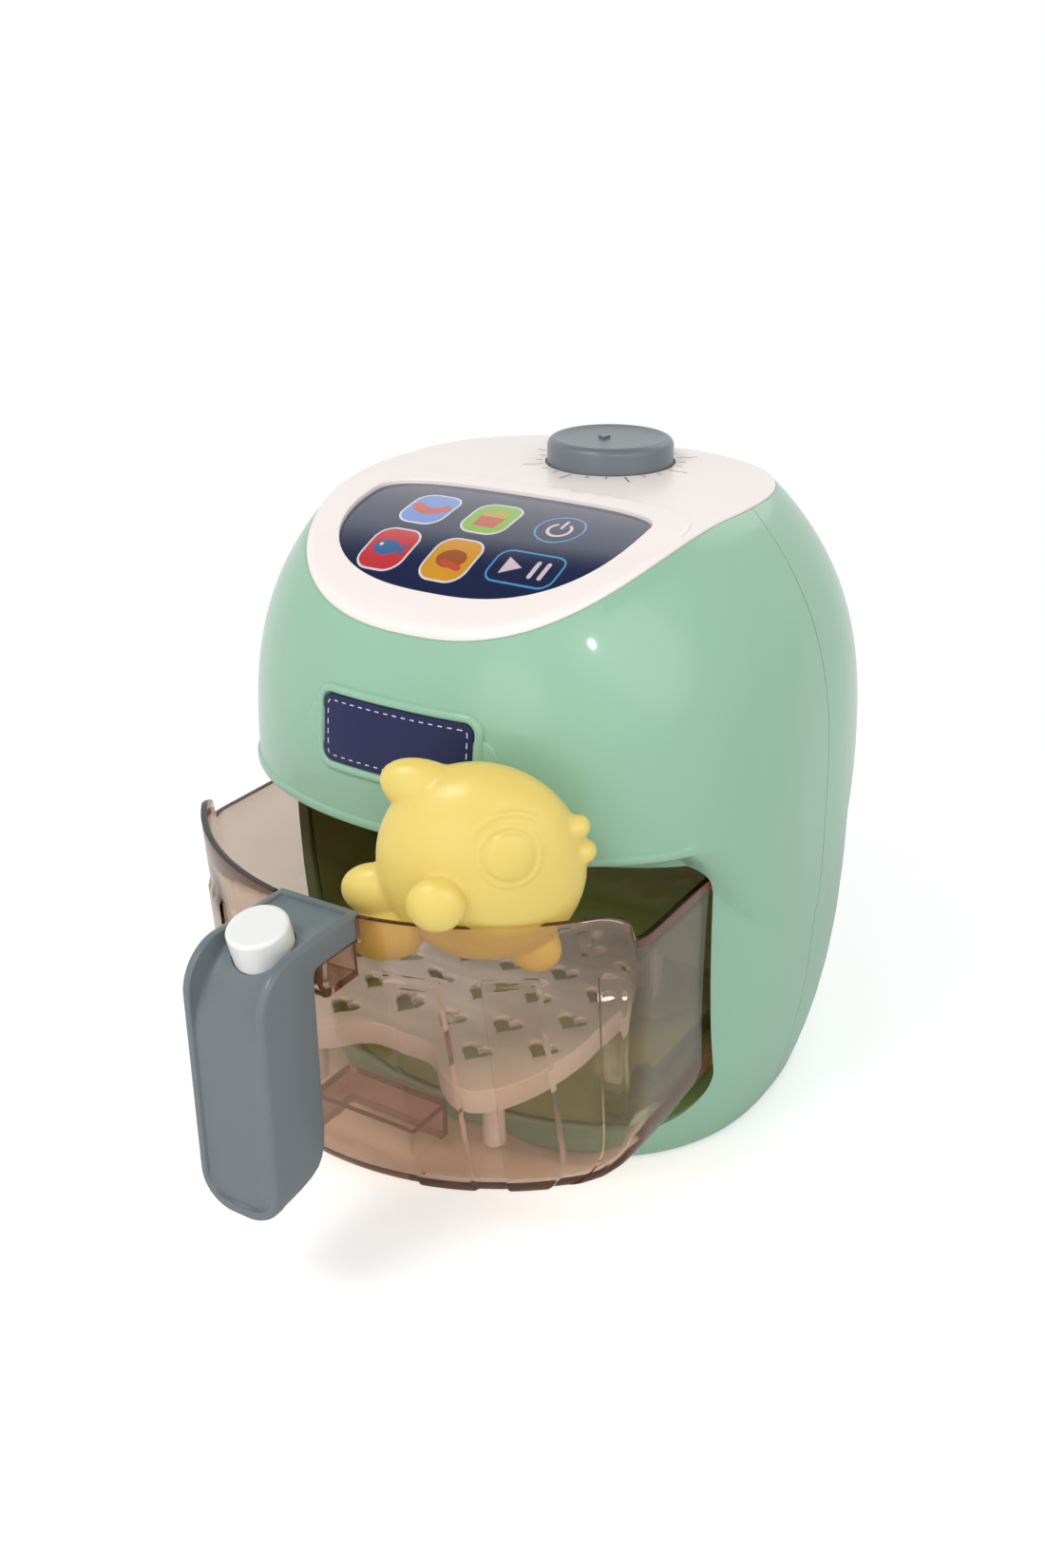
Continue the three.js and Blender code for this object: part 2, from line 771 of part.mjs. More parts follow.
add('battery_box', batteryBox(), 'black');
cellXs.forEach((x, i) => {
  const body = cylinder(cellRadius, x, batteryY, cellBottom, cellTop - 1.5 * contactHeight, 12);
  const button = cylinder(cellRadius / 3, x, batteryY, cellTop - 2 * contactHeight, cellTop, 8);
  add(`cell_${i + 1}`, body.add(button), 'copper');
  const contact = cylinder(cellRadius * 0.7, x, batteryY, cellTop + gap, cellTop + gap + contactHeight, 8);
  add(`battery_contact_${i + 1}`, contact, 'steel');
  const cone = new THREE.CylinderGeometry(cellRadius * 0.35, cellRadius * 0.7, 1, 10);
  const coneHeight = cellBottom - gap - (doorTop + gap);
  cone.scale(1, coneHeight, 1).rotateX(Math.PI / 2).translate(x, batteryY, doorTop + gap + coneHeight / 2);
  add(`battery_spring_${i + 1}`, solid(cone), 'steel');
});

// Drawer bay: the liner behind the opening, its posts, two runners and the lamp
const bayHalfWidth = openingHalfWidth + bayWall;
const bayBackRadius = 19;
const runnerShare = 0.65; // the runners' place across the drawer
const runnerX = runnerShare * openingHalfWidth;
const runnerWidth = 6;
const drawerFloor = 19.5;
const lampX = -30;
const lampY = 10;
const lampRadius = 2.5;
const lampHeight = 4;

function bayCore(margin) {
  const section = roundedOutline(
    -bayHalfWidth - margin,
    bayHalfWidth + margin,
    bayFloor - margin,
    openingTop + margin,
    openingFloorRadius + margin,
    openingTopRadius + margin,
  );
  const plan = roundedOutline(
    -bayHalfWidth - margin,
    bayHalfWidth + margin,
    -visorDepth,
    bayBack + margin,
    bayWall,
    bayBackRadius + margin,
  );
  return extrudeY(section, -visorDepth, bayBack + margin).intersect(extrudeZ(plan, 0, visorHeight));
}

function bayLiner() {
  let liner = bayCore(bayWall).intersect(innerSolid(gap)).subtract(bayCore(0));
  for (const [x, y] of postPlaces) {
    const post = cylinder(postRadius, x, y, baseThickness + gap, bayFloor - bayWall / 2, 10);
    liner = liner.add(post.subtract(bayCore(0)));
  }
  for (const [x, y] of postPlaces) {
    liner = liner.subtract(cylinder(screwRadius + gap, x, y, 0, bayFloor - bayWall + gap, 8));
  }
  return liner.subtract(cylinder(lampRadius + gap, lampX, lampY, openingTop - bayWall, visorHeight, 10));
}

add('bay_liner', bayLiner(), 'bay');

const runnerSetback = 36; // from the overhang's front to the runners
const runnerFront = -visorDepth + runnerSetback;
const runnerBack = bayBack - bayBackRadius / 2;
[-1, 1].forEach((side) => {
  const name = side < 0 ? 'runner_left' : 'runner_right';
  const near = side * runnerX - runnerWidth / 2;
  const far = near + runnerWidth;
  add(name, box(near, far, runnerFront, runnerBack, bayFloor + gap, drawerFloor - gap), 'bay');
});

function lamp() {
  const collar = cylinder(lampRadius, lampX, lampY, openingTop - gap, openingTop + lampHeight, 10);
  const flange = cylinder(
    1.5 * lampRadius,
    lampX,
    lampY,
    openingTop + bayWall + gap,
    openingTop + bayWall + lampHeight / 2,
    10,
  );
  const dome = ball([lampRadius, lampRadius, lampRadius], [lampX, lampY, openingTop - gap], 8, 4);
  return collar.add(flange).add(dome);
}

add('bay_lamp', lamp(), 'amber');

// Drawer tub: a bowed front, straight sides and a rounded back, drafted down to its floor
const drawerOut = 36; // how far the drawer stands out of its closed place
const drawerPlay = 0.4;
const tubHalfWidth = openingHalfWidth - drawerPlay;
const tubClearance = 2; // left behind the drawer when it is closed
const tubBack = bayBack - drawerOut - tubClearance;
const tubBackRadius = 18;
const tubWall = 2;
const drawerOverlap = 0.5; // the closed drawer's front stands this far behind the overhang's
const drawerFront = -visorDepth - drawerOut + drawerOverlap;
const bowShare = 1.151; // radius of the bowed front over the drawer's half width
const frontRadius = tubHalfWidth * bowShare;
const frontMiddle = drawerFront + frontRadius; // the middle of the bowed front's arc
const rimRoll = 9; // the front's rim rolls down this far to the sides' rim
const rimRollWidth = 7;
const rimRollEnd = 1.2;
const rimPlay = 5; // the sides' rim passes this far under the opening's top
const sideRimHeight = openingTop - rimPlay;
const rimHeight = sideRimHeight + rimRoll;
const sideDraft = 1.5;
const frontDraft = 6;
const sideCurve = 12; // radius between the sides and the floor
const frontCurve = 3; // radius between the front and the floor
const cornerDepth = 5; // the side turns into the front over this depth
const cornerWidth = 1.8;
const tubLevelShares = [0, 0.02, 0.06, 0.15, 0.5, 1.02];

// How far a quarter round of this radius draws in at a height above the floor
const roundIn = (radius, rise) => radius - Math.sqrt(radius ** 2 - Math.max(0, radius - rise) ** 2);

function tubRing(z, inset, floor) {
  const down = Math.max(0, (rimHeight - z) / (rimHeight - drawerFloor));
  const rise = Math.max(0, z - floor);
  const half = tubHalfWidth - inset - sideDraft * down - roundIn(sideCurve, rise) * 0.9;
  const middle = frontMiddle + frontDraft * down + roundIn(frontCurve, rise) * 0.9;
  const radius = frontRadius - inset;
  const onFront = (x) => middle - Math.sqrt(radius ** 2 - x ** 2);
  const points = [];
  const back = tubBack - inset - sideDraft * down;
  const backRound = tubBackRadius - inset;
  for (let i = 0; i <= 5; i++) {
    const angle = (i * Math.PI) / 2 / 5;
    const x = half - backRound + backRound * Math.cos(angle);
    points.push([x, back - backRound + backRound * Math.sin(angle)]);
  }
  const right = [...points].reverse().map(([x, y]) => [-x, y]);
  const outline = [...points, ...right];
  const leftSide = [
    [-half, onFront(half) + cornerDepth],
    [-half + cornerWidth / 6, onFront(half) + cornerDepth / 2],
    [-half + cornerWidth / 2, onFront(half) + cornerDepth / 8],
  ];
  outline.push(...leftSide);
  const endX = half - cornerWidth;
  const fan = Math.asin(endX / radius);
  for (let i = 0; i <= 16; i++) {
    const angle = -fan + (2 * fan * i) / 16;
    outline.push([radius * Math.sin(angle), middle - radius * Math.cos(angle)]);
  }
  outline.push(...leftSide.reverse().map(([x, y]) => [-x, y]));
  return outline.map(([x, y]) => new THREE.Vector3(x, y, z));
}

function tubSolid(inset, floor) {
  return loft(tubLevelShares.map((share) => tubRing(floor + share * (rimHeight - floor), inset, floor)));
}

// Raised flutes on the front, mirrored left and right
const fluteTop = 85;
const fluteProud = 1;
const fluteReach = 45.5; // the flutes end this far behind the middle of the front
const fluteBack = drawerFront + fluteReach;
// Each flute's near and far edge at its top and at the floor, as shares of the half width
const fluteShares = [
  [0.254, 0.448, 0.325, 0.517],
  [0.582, 0.74, 0.624, 0.806],
  [0.898, 0.965, 0.905, 0.95],
];

// Handle: a strap over the rim, bent down into a grip
const handleHalfWidth = 12.5;
const handleRise = 0.4;
const strapOverlap = 3.9; // the strap reaches this far over the drawer's front
const handleReach = 33.5;
const fingerRoom = 14.5; // between the drawer's front and the grip
const handleTop = rimHeight + handleRise;
const strapBack = drawerFront + strapOverlap;
const handleFront = drawerFront - handleReach;
const gripBack = drawerFront - fingerRoom;
const gripBottom = 31;
const strapThickness = 7.4;
const bendRadius = 12;
const panelBend = 23; // the recessed panel bends more gently than the ridges beside it
const innerBend = 2;
const armBend = 3;
const gripTaper = 14; // length over which the grip's back narrows to its tip
const tipDepth = 4; // thickness of the front plate's tip
const tipRadius = 9;
const handleWall = 1.8;
const panelInset = 2.6;
const panelRecess = 0.8;
const strapUnder = handleTop - strapThickness;
const hollowTop = handleTop - panelRecess - panelBend + handleWall; // the grip's hollow ends here
const armHalfWidth = 12;
const armWall = 1.5;
const armHeight = 10;
const armBottom = strapUnder - armHeight;
const armTop = strapUnder - gap;
const handleScrewX = 5;
const screwAhead = 4;
const handleScrewY = drawerFront - screwAhead;

// The moulded step in the drawer's floor behind its front
const blockHalfWidth = 17;
const blockSetback = 15.5;
const blockDepth = 16;
const blockFront = drawerFront + blockSetback;
const blockBack = blockFront + blockDepth;
const blockHeight = 12;
const blockWall = 1.6;

function rimCutter() {
  const turns = Array.from({ length: 5 }, (_, i) => (i * Math.PI) / 8);
  const rollStart = tubHalfWidth - rimRollWidth - rimRollEnd;
  const right = turns.map((turn) => [
    rollStart + rimRollWidth * Math.sin(turn),
    sideRimHeight + rimRoll * Math.cos(turn),
  ]);
  const outline = [
    ...right.map(([x, z]) => [-x, z]),
    [-reachX, sideRimHeight],
    [-reachX, rimHeight + overrun],
    [reachX, rimHeight + overrun],
    [reachX, sideRimHeight],
    ...right.reverse(),
  ];
  return extrudeY(outline, -reachX, reachY);
}

// A U-shaped arm carries the strap in front of the tub
function handleArm() {
  const side = (inset) => {
    const front = gripBack + innerBend + gap + inset;
    const bottom = armBottom + inset;
    return [
      [frontMiddle - frontRadius / 2, inset ? armTop + overrun : armTop],
      [front, inset ? armTop + overrun : armTop],
      [front, bottom + armBend],
      [front + armBend / 3, bottom + armBend / 3],
      [front + armBend, bottom],
      [frontMiddle - frontRadius / 2, bottom],
    ];
  };
  return extrudeX(side(0), -armHalfWidth, armHalfWidth).subtract(
    extrudeX(side(armWall), -armHalfWidth + armWall, armHalfWidth - armWall),
  );
}

function drawerTub() {
  const outer = tubSolid(0, drawerFloor);
  const inner = tubSolid(tubWall, drawerFloor + tubWall);
  const proud = tubSolid(-fluteProud, drawerFloor);
  let tub = outer.add(handleArm());
  for (const shares of fluteShares) {
    const [topNear, topFar, lowNear, lowFar] = shares.map((share) => share * tubHalfWidth);
    const right = [
      [lowNear, drawerFloor],
      [lowFar, drawerFloor],
      [topFar, fluteTop],
      [topNear, fluteTop],
    ];
    const left = right.map(([x, z]) => [-x, z]).reverse();
    for (const outline of [right, left]) {
      tub = tub.add(extrudeY(outline, -reachX, fluteBack).intersect(proud));
    }
  }
  tub = tub.subtract(inner).subtract(rimCutter());
  const block = box(
    -blockHalfWidth,
    blockHalfWidth,
    blockFront,
    blockBack,
    drawerFloor,
    drawerFloor + blockHeight,
  );
  const under = box(
    -blockHalfWidth + blockWall,
    blockHalfWidth - blockWall,
    blockFront + blockWall,
    blockBack - blockWall,
    0,
    drawerFloor + blockHeight - blockWall,
  );
  const sideDrop = box(-reachX, reachX, frontMiddle - frontRadius / 2, reachY, sideRimHeight, reachY);
  const notch = box(
    -handleHalfWidth - gap,
    handleHalfWidth + gap,
    -reachX,
    strapBack + gap,
    armTop,
    reachY,
  );
  tub = tub.add(block).subtract(under).subtract(sideDrop).subtract(notch);
  for (const x of [-handleScrewX, handleScrewX]) {
    tub = tub.subtract(cylinder(screwRadius + gap, x, handleScrewY, armBottom - overrun, armTop, 8));
  }
  return tub;
}

const drawerTubSolid = drawerTub();
add('drawer_tub', drawerTubSolid, 'rose');

// The handle's outer line from the strap's back round the bend to the tip, as [y, z]
function handleLine(inset, radius, start, end) {
  const bend = Array.from({ length: 6 }, (_, i) => {
    const turn = (i * Math.PI) / 10;
    return [
      handleFront + inset + radius - radius * Math.sin(turn),
      handleTop - inset - radius + radius * Math.cos(turn),
    ];
  });
  return [[start, handleTop - inset], ...bend, [handleFront + inset, end]];
}

// Button: a cap on a spring, set in the handle's bend and leaning forward
const buttonRadius = 7.7;
const buttonLean = (15 * Math.PI) / 180;
const buttonAhead = 19.5; // from the drawer's front to the middle of the cap's top
const buttonRise = 3.8;
const buttonTop = [0, drawerFront - buttonAhead, handleTop + buttonRise];
const buttonTravel = 2.5;
const buttonWall = 1.4;
const buttonEdge = 1.2;
const stemRadius = 1.6;
const stemLength = 8.4; // from the cap's top to the stem's end
const springRadius = 4;
const springWire = 0.5;
const springTurns = 4;
const boreDepth = 11.6; // from the cap's top to the bore's floor
const capLength = boreDepth - gap - buttonTravel;

// Carries a solid made upright about the button's top, at the origin, into its leaning place.
function lean(made) {
  const degrees = (buttonLean * 180) / Math.PI;
  return made.rotate([degrees, 0, 0]).translate(buttonTop);
}

function handleGrip() {
  const profile = [
    ...handleLine(0, bendRadius, strapBack, gripBottom),
    [handleFront + tipDepth, gripBottom],
    [handleFront + tipDepth, gripBottom + tipDepth],
    [gripBack - innerBend, gripBottom + tipDepth + gripTaper / 3],
    [gripBack, gripBottom + tipDepth + gripTaper],
    [gripBack, strapUnder - innerBend],
    [gripBack + innerBend / 3, strapUnder - innerBend / 3],
    [gripBack + innerBend, strapUnder],
    [strapBack, strapUnder],
  ];
  const frontOutline = roundedOutline(
    -handleHalfWidth,
    handleHalfWidth,
    gripBottom,
    handleTop + overrun,
    tipRadius,
    gap,
    4,
  );
  let grip = extrudeX(profile, -handleHalfWidth, handleHalfWidth).intersect(
    extrudeY(frontOutline, handleFront - overrun, strapBack + overrun),
  );
  const panelHalf = handleHalfWidth - panelInset;
  const line = handleLine(panelRecess, panelBend, strapBack - panelInset, gripBottom + tipRadius);
  const panel = [
    ...line,
    [handleFront - overrun, gripBottom + tipRadius],
    [handleFront - overrun, handleTop + overrun],
    [strapBack - panelInset, handleTop + overrun],
  ];
  grip = grip.subtract(extrudeX(panel, -panelHalf, panelHalf));
  // The grip is hollow from its back, and the back cover closes it.
  const hollow = roundedOutline(
    -handleHalfWidth + handleWall,
    handleHalfWidth - handleWall,
    gripBottom + tipDepth + gripTaper,
    hollowTop,
    handleWall,
    handleWall,
    1,
  );
  grip = grip.subtract(extrudeY(hollow, handleFront + panelRecess + handleWall, gripBack + overrun));
  grip = grip.subtract(lean(cylinder(buttonRadius + gap, 0, 0, -boreDepth, overrun, 20)));
  const holeTop = handleTop - panelRecess - handleWall;
  for (const x of [-handleScrewX, handleScrewX]) {
    grip = grip.subtract(cylinder(screwRadius + gap, x, handleScrewY, armBottom, holeTop, 8));
  }
  return grip;
}

add('handle_grip', handleGrip(), 'slate');

function handleBackCover() {
  const outline = roundedOutline(
    -handleHalfWidth + handleWall + gap,
    handleHalfWidth - handleWall - gap,
    gripBottom + tipDepth + gripTaper + gap,
    hollowTop - gap,
    handleWall,
    handleWall,
    1,
  );
  return extrudeY(outline, gripBack - handleWall, gripBack);
}

add('handle_back_cover', handleBackCover(), 'slate');
[-handleScrewX, handleScrewX].forEach((x, i) => {
  const head = armBottom - gap - screwHeadHeight;
  const length = handleTop - panelRecess - handleWall - gap - head;
  const small = cylinder(screwHeadRadius * 0.8, x, handleScrewY, head, head + screwHeadHeight, 10);
  const shank = cylinder(screwRadius, x, handleScrewY, head, head + length, 8);
  add(`handle_screw_${i + 1}`, small.add(shank), 'steel');
});

function releaseButton() {
  const profile = [
    [0, -buttonWall],
    [buttonRadius - buttonWall, -buttonWall],
    [buttonRadius - buttonWall, -capLength],
    [buttonRadius, -capLength],
    [buttonRadius, -buttonEdge],
    [buttonRadius - buttonEdge * 0.3, -buttonEdge * 0.3],
    [buttonRadius - buttonEdge, 0],
    [0, 0],
  ].map(([r, z]) => new THREE.Vector2(r, z));
  const cap = lean(solid(new THREE.LatheGeometry(profile, 20).rotateX(Math.PI / 2)));
  return cap.add(lean(cylinder(stemRadius, 0, 0, -stemLength, -buttonWall / 2, 8)));
}

add('release_button', releaseButton(), 'white');

// The spring is one unbroken wire, wound round the button's stem between the bore's floor and the cap.
class Coil extends THREE.Curve {
  constructor(radius, low, high, turns) {
    super();
    Object.assign(this, { radius, low, high, turns });
  }

  getPoint(share, target = new THREE.Vector3()) {
    const angle = share * this.turns * 2 * Math.PI;
    const z = this.low + share * (this.high - this.low);
    return target.set(this.radius * Math.cos(angle), this.radius * Math.sin(angle), z);
  }
}

function buttonSpring() {
  const low = -boreDepth + springWire + gap;
  const high = -buttonWall - springWire - gap;
  const steps = springTurns * 8;
  const coil = new Coil(springRadius, low, high, springTurns);
  const frames = Array.from({ length: steps + 1 }, (_, i) => {
    const middle = coil.getPoint(i / steps);
    const outward = new THREE.Vector3(middle.x, middle.y, 0).normalize();
    return Array.from({ length: 5 }, (_, k) => {
      const angle = (-k * 2 * Math.PI) / 5;
      const out = outward.clone().multiplyScalar(springWire * Math.cos(angle));
      return middle.clone().add(out).setZ(middle.z + springWire * Math.sin(angle));
    });
  });
  const made = loft(frames);
  return lean(made);
}

add('button_spring', buttonSpring(), 'steel');

// Crisper tray: a lobed plate with a turned-down rim, heart holes and four legs
const trayTop = 46;
const trayThickness = 2.4;
const traySkirt = 7;
const traySkirtWall = 2;
const traySide = 24.8; // room left beside the tray at the rim's level
const trayHalfWidth = tubHalfWidth - traySide;
const trayBackRoom = 13; // between the tray and the drawer's back
const trayFrontRoom = 20.5;
const trayBack = tubBack - trayBackRoom;
const trayFront = drawerFront + trayFrontRoom;
const trayLength = trayBack - trayFront;
const heartWidth = 8.8;
const heartPitch = 15.5;
const heartColumn = 14.7;
const heartStagger = 5.2;
const heartBack = -22.6;
const heartMargin = 6.4;
const legRadius = 3;
const legX = 30;
const legFrontInset = 13;
const legBackInset = 11;
const legFront = trayFront + legFrontInset;
const legBack = trayBack - legBackInset;
// Right half of the outline as shares of the half width and the length, from the front's middle
const trayOutlineShares = [
  [0, 0.845],
  [0.16, 0.845],
  [0.27, 0.87],
  [0.42, 0.95],
  [0.6, 1],
  [0.76, 0.97],
  [0.9, 0.84],
  [0.985, 0.66],
  [1, 0.45],
  [1, 0.2],
  [0.95, 0.06],
  [0.82, 0],
  [0.4, 0],
];

const trayOutline = (() => {
  const right = trayOutlineShares.map(([x, y]) => [x * trayHalfWidth, trayBack - y * trayLength]);
  const left = right
    .slice(1)
    .reverse()
    .map(([x, y]) => [-x, y]);
  return [...right, ...left];
})();

// Moves each corner of a closed outline inwards by a distance.
function insetOutline(outline, distance) {
  const count = outline.length;
  return outline.map(([x, y], i) => {
    const [ax, ay] = outline[(i + count - 1) % count];
    const [bx, by] = outline[(i + 1) % count];
    const length = Math.hypot(bx - ax, by - ay);
    return [x - ((by - ay) / length) * distance, y + ((bx - ax) / length) * distance];
  });
}

// A heart about (x, y) with its tip towards the front
function heart(x, y) {
  const unit = heartWidth / 32;
  return Array.from({ length: 10 }, (_, i) => {
    const t = (i * 2 * Math.PI) / 10;
    const across = 16 * Math.sin(t) ** 3;
    const up = 13 * Math.cos(t) - 5 * Math.cos(2 * t) - 2 * Math.cos(3 * t) - Math.cos(4 * t);
    return [x - across * unit, y + up * unit];
  });
}

function isInside([x, y], outline) {
  let inside = false;
  outline.forEach(([ax, ay], i) => {
    const [bx, by] = outline[(i + 1) % outline.length];
    if (ay > y !== by > y && x < ax + ((y - ay) / (by - ay)) * (bx - ax)) inside = !inside;
  });
  return inside;
}

function crisperTray() {
  const plate = extrudeZ(trayOutline, trayTop - traySkirt, trayTop);
  const inside = insetOutline(trayOutline, traySkirtWall);
  let tray = plate.subtract(extrudeZ(inside, trayTop - traySkirt - overrun, trayTop - trayThickness));
  for (const x of [-1, 1]) {
    for (const y of [legFront, legBack]) {
      const foot = drawerFloor + tubWall + gap;
      tray = tray.add(cylinder(legRadius, x * legX, y, foot, trayTop - trayThickness / 2, 8));
    }
  }
  const clear = insetOutline(trayOutline, heartMargin);
  for (let column = -3; column < 3; column++) {
    const x = (column + 0.5) * heartColumn;
    const stagger = Math.abs(x) > heartColumn && Math.abs(x) < 2 * heartColumn ? 0 : heartStagger;
    for (let row = 0; row < 6; row++) {
      const y = heartBack - stagger - row * heartPitch;
      const alongLeg = Math.min(Math.abs(y - legFront), Math.abs(y - legBack));
      const nearLeg = Math.hypot(Math.abs(x) - legX, alongLeg);
      if (!isInside([x, y], clear) || nearLeg < legRadius + heartWidth / 2) continue;
      tray = tray.subtract(extrudeZ(heart(x, y), trayTop - trayThickness - gap, trayTop + overrun));
    }
  }
  return tray;
}

add('crisper_tray', crisperTray(), 'pale');

// Toy fish, side on, in the gap between the drawer's rim and the overhang. Its own frame has +x to
// the nose, -y to the near side and z up, with the origin at the middle of its body.
const fishShare = 0.49; // its place across the drawer
const fishAcross = tubHalfWidth * fishShare;
const fishAhead = 12.2; // in front of the overhang
const fishRise = 11; // over the drawer's rim
const fishPlace = [fishAcross, -visorDepth - fishAhead, rimHeight + fishRise];
const fishTurn = (24 * Math.PI) / 180;
const fishLength = 26;
const fishThickness = 13.6;
const fishHeight = 26;
const lipRadius = 3.3;
const eyeRadius = 5.4;
const eyeRing = 7.2;
const eyeRingWire = 0.5;

// Lobes as shares of the body's half length, thickness and height: radii, place, tilt in degrees
const fishLobeShares = {
  dorsal_fin: [[0.5, 0.4, 0.3], [-0.47, 0, 0.72], -22],
  tail_top: [[0.32, 0.36, 0.27], [-1.0, 0, -0.36], 0],
  tail_bottom: [[0.4, 0.36, 0.32], [-0.9, 0, -0.76], 25],
  belly_fin: [[0.26, 0.36, 0.24], [0.5, 0, -0.88], 0],
  near_fin: [[0.33, 0.32, 0.28], [-0.4, -1.12, -0.14], 12],
  far_fin: [[0.33, 0.2, 0.28], [-0.4, 0.86, -0.14], 12],
  upper_lip: [[0.13, 0.26, 0.12], [0.93, 0, 0.5], 0],
  lower_lip: [[0.13, 0.26, 0.12], [1.0, 0, 0.26], 0],
};

function toyFish() {
  const size = [fishLength, fishThickness, fishHeight];
  const scaled = (shares) => shares.map((share, i) => share * size[i]);
  let fish = ball(size, [0, 0, 0], 16, 10);
  for (const [radii, place, tilt] of Object.values(fishLobeShares)) {
    fish = fish.add(ball(scaled(radii), scaled(place), 9, 6, (-tilt * Math.PI) / 180));
  }
  const eye = scaled([0.36, -0.83, 0.42]);
  fish = fish.add(ball([eyeRadius, lipRadius, eyeRadius], eye, 12, 6));
  const ring = new THREE.TorusGeometry(eyeRing, eyeRingWire, 4, 14);
  ring.rotateX(Math.PI / 2 - 0.42).rotateZ(-0.22);
  fish = fish.add(solid(ring.translate(eye[0], eye[1] - eyeRingWire / 2, eye[2])));
  const turned = fish.rotate([0, 0, (fishTurn * 180) / Math.PI]).translate(fishPlace);
  // The vinyl gives way where it leans on the rim and on the overhang.
  const rim = tubSolid(-gap, drawerFloor)
    .subtract(tubSolid(tubWall + gap, drawerFloor))
    .intersect(box(-reachX, reachX, -reachX, 0, 0, rimHeight + gap));
  return turned.subtract(rim).subtract(bodySolid(-gap - beadProud));
}

add('toy_fish', toyFish(), 'yellow');

export default model;
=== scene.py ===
"""Looks of the toy air fryer: fine surfaces, plastics, prints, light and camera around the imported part."""

from contextlib import contextmanager
from math import atan2, ceil, copysign, cos, exp, hypot, pi as PI, radians, sin, sqrt

import bmesh
import bpy
from mathutils import Matrix, Vector


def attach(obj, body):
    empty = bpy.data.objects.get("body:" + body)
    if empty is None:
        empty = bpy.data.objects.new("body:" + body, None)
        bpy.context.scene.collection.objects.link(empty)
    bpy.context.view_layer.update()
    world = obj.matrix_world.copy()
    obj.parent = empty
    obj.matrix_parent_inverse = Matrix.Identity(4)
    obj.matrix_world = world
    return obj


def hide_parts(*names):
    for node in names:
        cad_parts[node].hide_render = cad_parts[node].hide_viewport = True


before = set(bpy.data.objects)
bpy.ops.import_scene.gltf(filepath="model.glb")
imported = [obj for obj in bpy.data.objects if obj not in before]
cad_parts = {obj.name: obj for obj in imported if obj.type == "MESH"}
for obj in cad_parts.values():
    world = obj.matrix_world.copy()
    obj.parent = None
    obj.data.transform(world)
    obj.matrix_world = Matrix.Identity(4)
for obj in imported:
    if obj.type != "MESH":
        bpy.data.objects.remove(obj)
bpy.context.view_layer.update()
scene = bpy.context.scene

MM = 0.001

# Driving dimensions of the housing, in millimetres as in the part's source
BODY_WIDTH = 170
BELLY_HEIGHT = 95
TOP_HEIGHT = 182
FOOT_DRAW_IN = 11.492
SHOULDER_DRAW_IN = 27.999
VISOR_DEPTH = 86
VISOR_DRAW_IN = 20
LOWER_DEPTH = 67.5
LOWER_DRAW_IN = 2.5
BACK_DEPTH = 76.5
VISOR_HEIGHT = 104.5
WALL = 2.2
GAP = 0.3
SWOOP_DEPTH = 40
SWOOP_MIDDLE = -4
SWOOP_FRONT = 48
SWOOP_BACK = 37
SWOOP_STEP = 0.8
BEAD_HEIGHT = 2.6
BEAD_PROUD = 0.7
BEAD_STOP = 53
BEAD_FADE = 8
BLEND_FRONT = 50
BLEND_REACH = 25
SOFT_FRONT = 30
SOFT_REACH = 40
SOFT_POWER = 2
LEDGE_POWER = 6
SLOPE_START = 13
SLOPE_RADIUS = 110
SHOULDER_DROP = 1.6
SHELL_FOOT = 0.8
PLAN_POWER = 2.45
PLAN_TRIM = 0.9971  # keeps the finer outline inside the box of the solids
FINE = 240
ANGLES = [(i + 0.5) * 2 * PI / FINE for i in range(FINE)]

# Materials


def rgb(code):
    """A linear colour from a hex code."""
    values = [int(code[i : i + 2], 16) / 255 for i in (0, 2, 4)]
    return [v / 12.92 if v <= 0.04045 else ((v + 0.055) / 1.055) ** 2.4 for v in values] + [1.0]


def feed(tree, node, inputs):
    """Sets a node's inputs, each to a value or to another node's output."""
    for key, value in inputs.items():
        if isinstance(value, bpy.types.NodeSocket):
            tree.links.new(value, node.inputs[key])
        else:
            node.inputs[key].default_value = value


def add_node(tree, kind, inputs=None, output=0, **settings):
    """Adds a node and gives one of its outputs."""
    node = tree.nodes.new("ShaderNode" + kind)
    for name, value in settings.items():
        setattr(node, name, value)
    feed(tree, node, inputs or {})
    return node.outputs[output]


def new_material(name):
    material = bpy.data.materials.new(name)
    material.use_nodes = True
    tree = material.node_tree
    return material, tree, tree.nodes["Principled BSDF"]


def noise(tree, scale, detail=3):
    """A noise over the piece's own space."""
    place = add_node(tree, "TexCoord", output="Object")
    return add_node(tree, "TexNoise", {"Vector": place, "Scale": scale, "Detail": detail}, "Fac")


def uneven(tree, fac, low, high):
    return add_node(tree, "MapRange", {"Value": fac, "To Min": low, "To Max": high}, "Result")


def faded(tree, value, near, far, first=0.0, last=1.0):
    """Goes smoothly from a first to a last level between two values."""
    span = {"Value": value, "From Min": near, "From Max": far, "To Min": first, "To Max": last}
    return add_node(tree, "MapRange", span, "Result", interpolation_type="SMOOTHSTEP")


def mixed(tree, share, first, second):
    return add_node(tree, "MixShader", {0: share, 1: first, 2: second})


